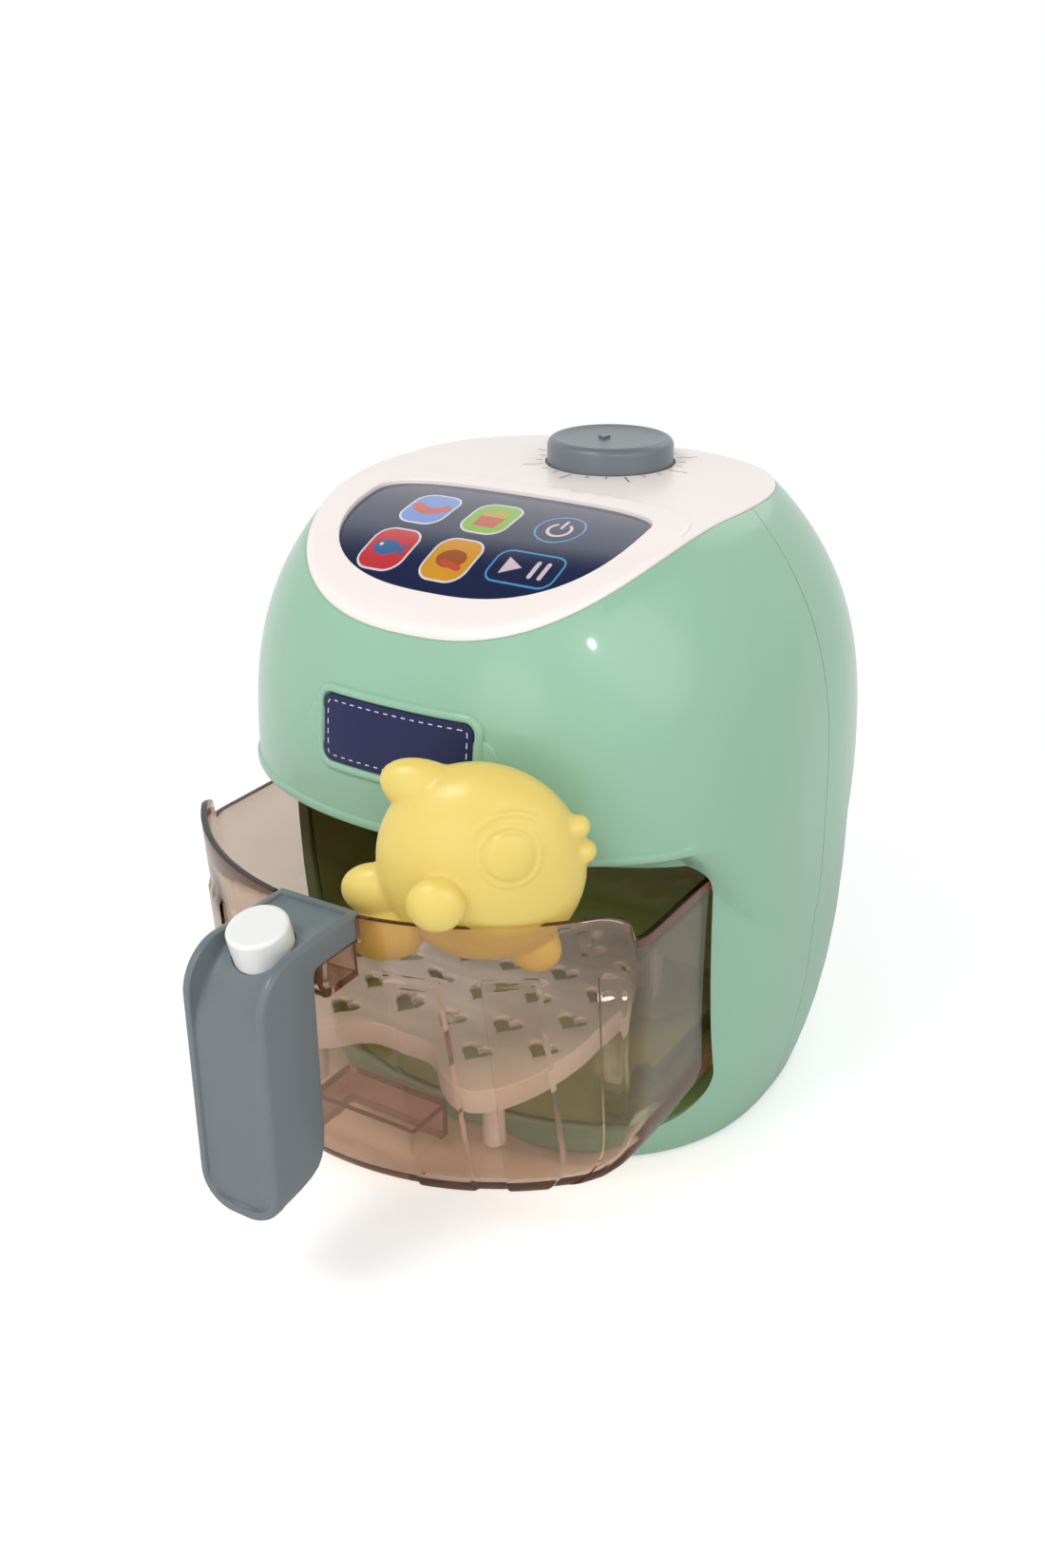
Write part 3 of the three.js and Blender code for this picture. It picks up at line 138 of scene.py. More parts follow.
def plastic(name, code, rough=0.3, shade=0.06, bump=0.03, coat=0.0, sub=0.0, mirror=0.5):
    """Moulded plastic: slow flow marks in the colour, uneven gloss and a faint texture."""
    material, tree, shader = new_material(name)
    ramp = tree.nodes.new("ShaderNodeValToRGB")
    feed(tree, ramp, {"Fac": noise(tree, 14)})
    for element, place, change in zip(ramp.color_ramp.elements, (0.3, 0.7), (-shade, shade)):
        element.position = place
        element.color = [min(1, v * (1 + change)) for v in rgb(code)[:3]] + [1]
    fine = noise(tree, 1200, 4)
    looks = {
        "Base Color": ramp.outputs["Color"],
        "Roughness": uneven(tree, fine, max(0.02, rough - 0.05), rough + 0.05),
        "Normal": add_node(tree, "Bump", {"Strength": bump, "Distance": 0.0003, "Height": fine}),
        "Coat Weight": coat,
        "Coat Roughness": 0.08,
        "IOR": 1.5,
        "Specular IOR Level": mirror,
    }
    if sub:
        looks["Subsurface Weight"] = sub
        looks["Subsurface Radius"] = (0.006, 0.005, 0.003)
        looks["Subsurface Scale"] = 1.0
    feed(tree, shader, looks)
    return material


def clear_plastic(name, skin, tint, density):
    """Clear plastic that is tinted through its depth, with faint scuffs and a painted brown glow where rays
    are caught in its edges. Lamps reach what is behind it.
    """
    material, tree, shader = new_material(name)
    scuffs = uneven(tree, noise(tree, 900, 5), 0.02, 0.07)
    feed(tree, shader, {"Roughness": scuffs, "Base Color": skin, "Transmission Weight": 1.0, "IOR": 1.46})
    depth = add_node(tree, "VolumeAbsorption", {"Color": tint, "Density": density})
    open_way = add_node(tree, "BsdfTransparent", {"Color": (0.92, 0.92, 0.92, 1)})
    # Rays still bouncing after more than five steps, mostly caught in an edge, end in a painted glow of
    # brown light instead of black
    painted_edge_glow = add_node(tree, "Emission", {"Color": (0.32, 0.235, 0.2, 1)})
    path = add_node(tree, "LightPath").node.outputs
    often = add_node(tree, "Math", {0: path["Ray Depth"], 1: 5.5}, operation="GREATER_THAN")
    surface = mixed(tree, path["Is Shadow Ray"], shader.outputs[0], open_way)
    surface = mixed(tree, often, surface, painted_edge_glow)
    feed(tree, tree.nodes["Material Output"], {"Surface": surface, "Volume": depth})
    return material


def metal(name, code, rough=0.35):
    material, tree, shader = new_material(name)
    brushed = uneven(tree, noise(tree, 1500), rough - 0.08, rough + 0.08)
    feed(tree, shader, {"Roughness": brushed, "Base Color": rgb(code), "Metallic": 1.0})
    return material


MINT = plastic("mint", "97C1A7", rough=0.3, shade=0.025, bump=0.02, coat=0.3, mirror=0.3)
WHITE = plastic("white_cover", "FAF0EB", rough=0.32, shade=0.015, coat=0.2)
BUTTON_WHITE = plastic("button_white", "F2F2F0", rough=0.3, shade=0.015, coat=0.2)
NAVY = plastic("navy_overlay", "1A2448", rough=0.1, shade=0.1, bump=0.004, coat=0.6)
BADGE_NAVY = plastic("navy_badge", "242750", rough=0.35, shade=0.05, mirror=0.25)
SLATE = plastic("slate", "6F787D", rough=0.34, shade=0.03, bump=0.06, coat=0.1, mirror=0.4)
KNOB_SLATE = plastic("knob_slate", "6D767C", rough=0.32, shade=0.03, bump=0.06)
ROSE = clear_plastic("rose_clear", (0.95, 0.845, 0.775, 1), (0.6, 0.35, 0.05, 1), 125)
TRAY = plastic("tray_pale", "E0DEDE", rough=0.4, shade=0.02)
YELLOW = plastic("vinyl_yellow", "E8D070", rough=0.34, shade=0.03, bump=0.05, sub=0.35)
BAY = plastic("bay_green", "84A066", rough=0.5, shade=0.08, mirror=0.3)
BLACK = plastic("black_plastic", "2A2C2E", rough=0.6)
BOARD = plastic("board_green", "2E6B3E", rough=0.6, shade=0.2)
AMBER = plastic("amber_lens", "D8862C", rough=0.15, shade=0.1)
WRAP = plastic("cell_wrap", "C08A3A", rough=0.3, shade=0.15)
STEEL = metal("plated_steel", "B8BABC")
TICK_GREY = plastic("tick_grey", "5F6468", rough=0.4, shade=0.02)
BADGE_WHITE = plastic("badge_white", "D9DCE6", rough=0.35, shade=0.03)

# Colours printed under the display's clear film
PRINT_CODES = {
    "white": "DCD8DC",
    "blue": "6C90D0",
    "green": "86B82C",
    "red": "C8343C",
    "amber": "D8982A",
    "brown": "A4562A",
    "coral": "C8533C",
    "deep_blue": "34689C",
    "cyan": "4E96C8",
    "blush": "D8C4CC",
}
PRINTS = {
    colour: plastic("print_" + colour, code, rough=0.12, shade=0.06, bump=0.004, coat=0.6)
    for colour, code in PRINT_CODES.items()
}

CAD_LOOKS = {
    "speaker battery_box": BLACK,
    "touch_board": BOARD,
    "timer_switch": BUTTON_WHITE,
    "base_plate battery_door": MINT,
    "bay_liner runner_left runner_right": BAY,
    "bay_lamp": AMBER,
    "handle_back_cover": SLATE,
    "cell": WRAP,
    "knob_retainer button_spring handle_screw base_screw battery_contact battery_spring": STEEL,
}
for kinds, look in CAD_LOOKS.items():
    for name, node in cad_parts.items():
        if name.rstrip("_1234") in kinds.split():
            for place in node.material_slots:
                place.material = look

# Curves


def turns(steps):
    return [i * 2 * PI / steps for i in range(steps)]


def quarter(steps):
    """Cosines and sines over a quarter turn."""
    return [(cos(i * PI / 2 / steps), sin(i * PI / 2 / steps)) for i in range(steps + 1)]


def signed_power(value, power):
    return copysign(abs(value) ** (2 / power), value)


def ease_share(value):
    clipped = min(1, max(0, value))
    return clipped**2 * (3 - 2 * clipped)


def oval(x, y, wide, tall, steps=24):
    return [(x + wide * cos(t), y + tall * sin(t)) for t in turns(steps)]


def circle(radius, x, y, steps=96):
    return oval(x, y, radius, radius, steps)


def rounded_outline(u0, u1, v0, v1, radius, steps=10, high_radius=None):
    high = high_radius or radius
    corners = [
        (u1 - radius, v0 + radius, radius, -PI / 2),
        (u1 - high, v1 - high, high, 0),
        (u0 + high, v1 - high, high, PI / 2),
        (u0 + radius, v0 + radius, radius, PI),
    ]
    points = []
    for u, v, bend, start in corners:
        angles = [start + i * PI / 2 / steps for i in range(steps + 1)]
        points += [(u + bend * cos(a), v + bend * sin(a)) for a in angles]
    return points


def tile(x, y, half_wide, half_tall, radius, margin=0.0, steps=8):
    """A rounded box round a middle, widened by a margin."""
    wide = half_wide + margin
    tall = half_tall + margin
    return rounded_outline(x - wide, x + wide, y - tall, y + tall, radius + margin, steps)


def inset_outline(outline, distance):
    moved = []
    for i, (x, y) in enumerate(outline):
        ax, ay = outline[i - 1]
        bx, by = outline[(i + 1) % len(outline)]
        length = hypot(bx - ax, by - ay)
        moved.append((x - (by - ay) / length * distance, y + (bx - ax) / length * distance))
    return moved


def straight_steps(outline, longest, like=None):
    """An outline with its long sides divided, by their own lengths or by those of a like outline."""
    lengths = like or outline
    points = []
    for i, (ax, ay) in enumerate(outline):
        j = (i + 1) % len(outline)
        bx, by = outline[j]
        count = max(1, ceil(hypot(lengths[j][0] - lengths[i][0], lengths[j][1] - lengths[i][1]) / longest))
        points += [(ax + (bx - ax) * k / count, ay + (by - ay) * k / count) for k in range(count)]
    return points


def stroke(points, width):
    """The outline of a line of the given width with round ends."""
    points = [Vector(p) for p in points]
    sides = []
    for i, point in enumerate(points):
        ahead = points[min(i + 1, len(points) - 1)] - points[max(i - 1, 0)]
        sides.append((point, Vector((-ahead.y, ahead.x)).normalized() * width / 2))
    ends = []
    for point, side in (sides[-1], (sides[0][0], -sides[0][1])):
        ends.append([tuple(point + Matrix.Rotation(-t * PI / 8, 2) @ side) for t in range(1, 8)])
    left = [tuple(p + a) for p, a in sides]
    right = [tuple(p - a) for p, a in reversed(sides)]
    return left + ends[0] + right + ends[1]


def bow(x, y, radius, start, end, steps=16):
    """Points along an arc, with angles in degrees."""
    angles = [radians(start + (end - start) * i / steps) for i in range(steps + 1)]
    return [(x + radius * cos(a), y + radius * sin(a)) for a in angles]


# Mesh helpers


@contextmanager
def editing(mesh):
    """Opens a mesh for changes, which are written back at the end."""
    work = bmesh.new()
    work.from_mesh(mesh)
    yield work
    work.to_mesh(mesh)
    work.free()


def add_object(name, data):
    piece = bpy.data.objects.new(name, data)
    scene.collection.objects.link(piece)
    return piece


def outward(piece):
    with editing(piece.data) as work:
        bmesh.ops.recalc_face_normals(work, faces=work.faces)
    return piece


def loft(name, rings, closed=False, fan=True, tips=None):
    """Skins rings of points in millimetres, from the bottom up. Each end gets a fan or one face."""
    count = len(rings[0])
    points = [p for ring in rings for p in ring]
    total = len(points)
    steps = [(i, (i + 1) % count) for i in range(count)]
    faces = []
    for low in range(0, total if closed else total - count, count):
        high = (low + count) % total
        faces += [(low + i, low + j, high + j, high + i) for i, j in steps]
    if not closed and fan:
        middles = [[sum(p[k] for p in ring) / count for k in range(3)] for ring in (rings[0], rings[-1])]
        points += tips or middles
        faces += [(total, j, i) for i, j in steps]
        faces += [(total + 1, total - count + i, total - count + j) for i, j in steps]
    elif not closed:
        faces += [tuple(range(count))[::-1], tuple(range(total - count, total))]
    mesh = bpy.data.meshes.new(name)
    mesh.from_pydata([tuple(v * MM for v in p) for p in points], [], faces)
    mesh.update()
    return add_object(name, mesh)


def prism(name, outline, low, high, axis="z"):
    """Extrudes an outline: (x, y) along z, (y, z) along x or (x, z) along y."""
    order = {"z": (0, 1, 2), "x": (2, 0, 1), "y": (0, 2, 1)}[axis]
    rings = [[[(u, v, w)[k] for k in order] for u, v in outline] for w in (low, high)]
    return outward(loft(name, rings, fan=False))


def lathe(name, profile, sides, place=(0, 0, 0), lean=0.0):
    """Turns a profile of (radius, height) that starts and ends on the axis."""
    tilt = Matrix.Rotation(lean, 3, "X")

    def placed(x, y, z):
        return tuple(tilt @ Vector((x, y, z)) + Vector(place))

    rings = [[placed(r * cos(t), r * sin(t), z) for t in turns(sides)] for r, z in profile[1:-1]]
    return loft(name, rings, tips=[placed(0, 0, profile[0][1]), placed(0, 0, profile[-1][1])])


def shown_mesh(piece):
    """A piece's mesh as its modifiers or its curve make it."""
    bpy.context.view_layer.update()
    return bpy.data.meshes.new_from_object(piece.evaluated_get(bpy.context.evaluated_depsgraph_get()))


def apply_modifiers(piece):
    mesh = shown_mesh(piece)
    mesh.validate()
    piece.modifiers.clear()
    old = piece.data
    piece.data = mesh
    bpy.data.meshes.remove(old)


def combine(piece, tools, operation="DIFFERENCE"):
    """Cuts, joins or intersects a piece with others, which are used up."""
    for tool in tools:
        step = piece.modifiers.new("combine", "BOOLEAN")
        step.operation = operation
        step.solver = "EXACT"
        step.object = tool
        apply_modifiers(piece)
        mesh = tool.data
        bpy.data.objects.remove(tool)
        bpy.data.meshes.remove(mesh)
    return piece


def slice_at(work, axis, place, **cleared):
    """Cuts a mesh across an axis at a place in metres."""
    geometry = list(work.verts) + list(work.edges) + list(work.faces)
    across = Vector([float(k == axis) for k in range(3)])
    made = bmesh.ops.bisect_plane(work, geom=geometry, plane_co=across * place, plane_no=across, **cleared)
    return made["geom_cut"]


def keep_half(piece, y, front):
    """Keeps what lies in front of or behind a plane across y and closes the cut."""
    with editing(piece.data) as work:
        cut = slice_at(work, 1, y * MM, clear_outer=front, clear_inner=not front)
        bmesh.ops.edgenet_fill(work, edges=[e for e in cut if isinstance(e, bmesh.types.BMEdge)])
        bmesh.ops.recalc_face_normals(work, faces=work.faces)


def press_on(piece, axis, step, place):
    """Lays a flat piece on a curved surface: it is cut across the axis and its corners are moved."""
    with editing(piece.data) as work:
        values = [v.co[axis] for v in work.verts]
        cut = min(values) + step * MM
        while cut < max(values):
            slice_at(work, axis, cut)
            cut += step * MM
        for vert in work.verts:
            vert.co = Vector(place(*(vert.co / MM))) * MM
        bmesh.ops.recalc_face_normals(work, faces=work.faces)
    return piece


def flat_plate(name, outlines, low, high, edge=0.0):
    """A plate with holes, from closed outlines, with rounded edges."""
    curve = bpy.data.curves.new(name, "CURVE")
    curve.dimensions = "2D"
    curve.fill_mode = "BOTH"
    curve.extrude = (high - low) / 2 * MM - edge * MM
    curve.bevel_depth = edge * MM
    curve.bevel_resolution = 2
    curve.offset = -edge * MM
    for outline in outlines:
        spline = curve.splines.new("POLY")
        spline.points.add(len(outline) - 1)
        for point, (x, y) in zip(spline.points, outline):
            point.co = (x * MM, y * MM, 0, 1)
        spline.use_cyclic_u = True
    piece = add_object(name, curve)
    mesh = shown_mesh(piece)
    bpy.data.objects.remove(piece)
    bpy.data.curves.remove(curve)
    mesh.transform(Matrix.Translation((0, 0, (low + high) / 2 * MM)))
    with editing(mesh) as work:
        bmesh.ops.remove_doubles(work, verts=work.verts, dist=1e-6)
    return add_object(name, mesh)


def finish(piece, look, body, replaces=None, angle=30):
    """Gives a piece its look and body, and smooth shading up to an angle between its faces."""
    piece.data.materials.clear()
    piece.data.materials.append(look)
    with editing(piece.data) as work:
        for face in work.faces:
            face.smooth = True
        for edge in work.edges:
            edge.smooth = len(edge.link_faces) == 2 and edge.calc_face_angle(0) < radians(angle)
    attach(piece, body)
    if replaces:
        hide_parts(replaces)


# The body's surface


def half_width(z):
    below = max(0, BELLY_HEIGHT - z) / BELLY_HEIGHT
    above = max(0, z - BELLY_HEIGHT) / (TOP_HEIGHT - BELLY_HEIGHT)
    return BODY_WIDTH / 2 - FOOT_DRAW_IN * below**3 - SHOULDER_DRAW_IN * above**3.15


def lower_front(z):
    return LOWER_DEPTH - LOWER_DRAW_IN * (max(0, BELLY_HEIGHT - z) / BELLY_HEIGHT) ** 3


def upper_front(z):
    return VISOR_DEPTH - VISOR_DRAW_IN * (max(0, z - VISOR_HEIGHT) / (TOP_HEIGHT - VISOR_HEIGHT)) ** 3


def body_point(angle, z, upper, inset):
    """A point of the surface in one direction. The upper body, 1, overhangs the lower one, 0."""
    s = sin(angle)
    inward = inset + SWOOP_STEP * (1 - upper)
    front = lower_front(z) + (upper_front(z) - lower_front(z)) * upper - inset
    back = (BACK_DEPTH * half_width(z) / (BODY_WIDTH / 2) - inward) * PLAN_TRIM
    x = (half_width(z) * PLAN_TRIM - inward) * signed_power(cos(angle), PLAN_POWER)
    return (x, (front if s < 0 else back) * signed_power(s, PLAN_POWER), z)


def front_y(x, z, rise=0.0):
    """The overhang's front at a place, moved out by a rise."""
    share = min(1, abs(x) / (half_width(z) + rise))
    return -(upper_front(z) + rise) * (1 - share**PLAN_POWER) ** (1 / PLAN_POWER)


def edge_height(y):
    reach = SWOOP_FRONT if y < SWOOP_MIDDLE else SWOOP_BACK
    along = min(1, abs(y - SWOOP_MIDDLE) / reach)
    return VISOR_HEIGHT - SWOOP_DEPTH * (1 - along**2) ** 0.8


def lower_y(angle):
    return body_point(angle, BELLY_HEIGHT, 0, 0)[1]


def blend_share(angle, share):
    """How far the surface has gone over from the lower to the upper body at a share of the way up."""
    y = lower_y(angle)
    on_side = ease_share((y + BLEND_FRONT) / BLEND_REACH)
    power = SOFT_POWER + LEDGE_POWER * ease_share((y + SOFT_FRONT) / SOFT_REACH)
    return (1 - on_side) * share**2 + on_side * (1 - (1 - share) ** power)


def cover_height(y):
    ahead = max(0, -SLOPE_START - y)
    return TOP_HEIGHT - SLOPE_RADIUS + sqrt(SLOPE_RADIUS**2 - ahead**2)


def shoulder_height(angle):
    low = VISOR_HEIGHT
    high = TOP_HEIGHT
    for _ in range(40):
        z = (low + high) / 2
        if z < cover_height(body_point(angle, z, 1, 0)[1]) - SHOULDER_DROP:
            low = z
        else:
            high = z
    return low


SHOULDERS = [shoulder_height(a) for a in ANGLES]
LOWER_EDGES = [edge_height(lower_y(a)) for a in ANGLES]


def lower_ring(share, inset, lift=0.0):
    heights = [SHELL_FOOT + share * (edge + lift - SHELL_FOOT) for edge in LOWER_EDGES]
    return [body_point(a, z, 0, inset) for a, z in zip(ANGLES, heights)]


def blend_ring(share, inset, lift=0.0):
    heights = [edge + lift + share * (VISOR_HEIGHT - edge) for edge in LOWER_EDGES]
    return [body_point(a, z, blend_share(a, share), inset) for a, z in zip(ANGLES, heights)]


def upper_ring(share, inset, lift=0.0):
    edge = VISOR_HEIGHT + lift
    return [body_point(a, edge + share * (top - edge), 1, inset) for a, top in zip(ANGLES, SHOULDERS)]


def bead_ring(height_share, proud_share):
    z = VISOR_HEIGHT + height_share * BEAD_HEIGHT
    ring = []
    for angle in ANGLES:
        fade = ease_share((-body_point(angle, z, 1, 0)[1] - BEAD_STOP) / BEAD_FADE)
        ring.append(body_point(angle, z, 1, -BEAD_PROUD * proud_share * fade))
    return ring


def housing_wall(name):
    """The whole wall of the housing, with the bead along the edge of its overhang."""
    beads = [(0.02, 0.3), (0.1, 0.75), (0.25, 1), (0.7, 1), (0.86, 0.8), (0.96, 0.35), (1.02, 0)]
    rings = [lower_ring(share, 0) for share in (0, 0.02, 0.08, 0.16, 0.26, 0.38, 0.52, 0.68, 0.84, 0.97, 1)]
    rings += [blend_ring(share, 0) for share in (0.03, 0.07, 0.12, 0.18, 0.26, 0.36, 0.48, 0.62, 0.8, 0.97)]
    rings += [bead_ring(*bead) for bead in beads]
    rings += [upper_ring(0.07 + 0.93 * i / 18, 0) for i in range(18)]
    rings += [upper_ring(0.994, 0.1), upper_ring(1, 0.5)]
    rings += [upper_ring(share, WALL, WALL) for share in (1, 0.9, 0.75, 0.6, 0.4, 0.2, 0)]
    rings += [blend_ring(share, WALL, WALL) for share in (0.8, 0.6, 0.45, 0.3, 0.15, 0.05)]
    rings += [lower_ring(share, WALL, WALL) for share in (1, 0.75, 0.5, 0.25, 0)]
    return loft(name, rings, closed=True)


OPENING_HALF_WIDTH = 71.2
OPENING_FLOOR = 10
OPENING_TOP = 97
OPENING_LOW_RADIUS = 20
OPENING_HIGH_RADIUS = 6
GRILLE_HEIGHT = 124
GRILLE_PITCH = 4.6
SLOT_SIZE = (11, 0.9, 0.9)
SLOT_START = 60
SLOT_END = 90


def front_shell():
    piece = housing_wall("shell_front")
    keep_half(piece, -GAP / 2, True)
    half, low = OPENING_HALF_WIDTH, OPENING_LOW_RADIUS
    outline = rounded_outline(-half, half, OPENING_FLOOR, OPENING_TOP, low, 14, OPENING_HIGH_RADIUS)
    combine(piece, [prism("opening", outline, -VISOR_DEPTH, -LOWER_DEPTH / 3, "y")])
    finish(piece, MINT, "housing", "front_shell", 28)


def back_shell():
    piece = housing_wall("shell_back")
    keep_half(piece, GAP / 2, False)
    for i in range(-2, 3):
        outline = tile(0, GRILLE_HEIGHT + i * GRILLE_PITCH, *SLOT_SIZE, steps=6)
        combine(piece, [prism("slot", outline, SLOT_START, SLOT_END, "y")])
    finish(piece, MINT, "housing", "back_shell", 28)


front_shell()
back_shell()

# Badge: a raised frame, a plain plate and its printed border of dashes

BADGE_SHARE = 0.49
BADGE_HEIGHT = VISOR_HEIGHT + BADGE_SHARE * (shoulder_height(-PI / 2) - VISOR_HEIGHT)
BADGE_SIZE = (23.6, 9.4, 3)
FRAME_PROFILE = [
    (2.3, -0.4), (2.25, 0.5), (2.05, 0.9), (1.65, 1.15), (1.1, 1.2),
    (0.55, 1.15), (0.2, 0.9), (0, 0.5), (0, -0.4),
]
LUG_PROFILE = [(0, -0.3), (0.05, 0.25), (0.25, 0.42), (0.6, 0.5), (2.2, 0.5)]
LUG_SIZE = (4.4, 5.4)
LUG_ASIDE = 1.6
BADGE_RISE = 0.7
BADGE_THICKNESS = 0.9
BADGE_EDGE = 0.12
BORDER_INSET = 1.9
BORDER_RISE = 0.73
BORDER_STEP = 0.25
DASH = 1.6
DASH_PITCH = 2.75
DASH_HALF_WIDTH = 0.14
FILM = 0.1
RELIEF_STEP = 2


def badge_outline(margin, steps=8):
    return tile(0, BADGE_HEIGHT, *BADGE_SIZE, margin, steps)


def on_front(rise):
    """Lays (x, height) on the overhang's front, moved out by a rise."""
    return lambda u, v, w: (u, front_y(u, v, rise + w), v)


def relief(name, levels, closed=False):
    """A raised form on the overhang's front, from pairs of an outline and its rise."""
    rings = [[(x, front_y(x, z, rise), z) for x, z in outline] for outline, rise in levels]
    piece = outward(loft(name, rings, closed))
    finish(piece, MINT, "housing", None, 50)


def badge_frame():
    base = badge_outline(1)
    levels = [(straight_steps(badge_outline(m), RELIEF_STEP, base), rise) for m, rise in FRAME_PROFILE]
    relief("badge_frame", levels, closed=True)


def badge_lug(name, side):
    """A shallow boss at one side of the badge's frame."""
    levels = []
    for shrink, rise in LUG_PROFILE:
        wide, tall = (size - shrink for size in LUG_SIZE)
        levels.append((oval(side * (BADGE_SIZE[0] + LUG_ASIDE), BADGE_HEIGHT, side * wide, tall, 40), rise))
    relief(name, levels)


def badge_plate():
    piece = flat_plate("badge", [badge_outline(-GAP, 12)], -BADGE_THICKNESS, 0, BADGE_EDGE)
    press_on(piece, 0, RELIEF_STEP, on_front(BADGE_RISE))
    finish(piece, BADGE_NAVY, "housing", "badge_plate", 40)


def badge_border():
    """Dashes along the plate's edge, as printed stitching."""
    line = straight_steps(badge_outline(-BORDER_INSET, 12), BORDER_STEP)
    outlines = []
    along = 0.0
    right, left = [], []
    for i, (x, z) in enumerate(line):
        nx, nz = line[(i + 1) % len(line)]
        length = hypot(nx - x, nz - z)
        if along % DASH_PITCH < DASH:
            aside = ((nz - z) / length * DASH_HALF_WIDTH, (nx - x) / length * DASH_HALF_WIDTH)
            right.append((x + aside[0], z - aside[1]))
            left.append((x - aside[0], z + aside[1]))
        elif right:
            outlines.append(right + left[::-1])
            right, left = [], []
        along += length
    piece = flat_plate("badge_border", outlines, -FILM, 0)
    press_on(piece, 0, RELIEF_STEP, on_front(BORDER_RISE))
    finish(piece, BADGE_WHITE, "housing", None, 40)


badge_frame()
badge_lug("badge_lug_left", -1)
badge_lug("badge_lug_right", 1)
badge_plate()
badge_border()

# Cover, display and knob

COVER_THICKNESS = 3
COVER_EDGE_INSET = 0.6
SKIRT_DEPTH = 5
SKIRT_INNER = 4.1
SKIRT_OUTER = 2.5
DECK_DROP = 0.9
DECK_HEIGHT = TOP_HEIGHT - DECK_DROP
DISPLAY_MIDDLE = -33.024
DISPLAY_HALF_WIDTH = 43.3
DISPLAY_FRONT = 35.5
DISPLAY_BACK = 13
DISPLAY_RECESS = 1.3
DISPLAY_THICKNESS = 1
STEP_MARGIN = 10
STEP_BACK_MARGIN = 8.5
KNOB_Y = 26
KNOB_RADIUS = 18.7
KNOB_HEIGHT = 7.1
KNOB_EDGE = 2.4
KNOB_ROOF = 3.5
SHAFT_RADIUS = 3
SHAFT_FOOT = 166.7
KNOB_WALL = 1.8
FIRST_TICK = -49
TICK_START = 20.4
LONG_TICK = 26.3
SHORT_TICK = 22.1
TICK_WIDTH = 0.45
KNOB_DISH = [(15.9, 0.1), (15.2, 0.35), (12, 0.7), (7, 0.88), (0, 0.9)]
RIB_TURN = 116
RIB_SIZE = (0.5, 0.6, 0.45)
RIB_SINK = 0.05
SHAFT_HOLE_RADIUS = 3.3
WELL_MARGIN = 0.7
WELL_DEPTH = 1.2
COVER_ROUND = 1.25
COVER_ROUND_SHARE = 0.03
RECESS_ROUND = 0.5
DECK_ROUND = 0.8
CUT_LOW = 100
CUT_HIGH = 190
CUT_REACH = 90
FLARE_LOW = 120
SLAB_RISE = 4.5


def arch(half_across, reach, power, start, steps):
    """Half of a rounded box round the display's middle."""
    angles = [start + i * PI / steps for i in range(steps + 1)]
    across = [half_across * signed_power(cos(a), power) for a in angles]
    return [(x, DISPLAY_MIDDLE + reach * signed_power(sin(a), power)) for x, a in zip(across, angles)]


def display_outline(margin):
    across = DISPLAY_HALF_WIDTH + margin
    front = arch(across, DISPLAY_FRONT + margin, 2.6, PI, 60)
    return front[:-1] + arch(across, DISPLAY_BACK + margin, 3, 0, 40)[:-1]


def deck_outline(margin):
    across = DISPLAY_HALF_WIDTH + STEP_MARGIN - margin
    step = arch(across, DISPLAY_BACK + STEP_BACK_MARGIN - margin, 3, 0, 60)
    far = CUT_REACH
    return [(far, DISPLAY_MIDDLE)] + step + [(-far, DISPLAY_MIDDLE), (-far, far), (far, far)]


def cover_slab(low, high):
    """A slab that follows the cover's surface between two offsets from it."""
    angles = [i * PI / 3 / 72 for i in range(73)]

    def arc(offset):
        radius = SLOPE_RADIUS + offset
        middle = TOP_HEIGHT - SLOPE_RADIUS
        return [(-SLOPE_START - radius * sin(a), middle + radius * cos(a)) for a in angles]

    ends = [(CUT_REACH, TOP_HEIGHT + offset) for offset in (high, low)]
    outline = ends[:1] + arc(high) + arc(low)[::-1] + ends[1:]
    return prism("slab", outline, -BODY_WIDTH / 2, BODY_WIDTH / 2, "x")


def flared(name, outline_at, floor, round_over):
    """A cutter whose walls widen in a quarter round where they meet the cover's surface."""
    rings = [[(x, y, FLARE_LOW) for x, y in outline_at(0)]]
    for c, s in quarter(4):
        outline = outline_at(round_over * (1 - c))
        rings.append([(x, y, cover_height(y) - round_over * (1 - s)) for x, y in outline])
    rings.append([(x, y, CUT_HIGH) for x, y in outline_at(round_over)])
    piece = outward(loft(name, rings, fan=False))
    return combine(piece, [cover_slab(-floor, SLAB_RISE)], "INTERSECT")


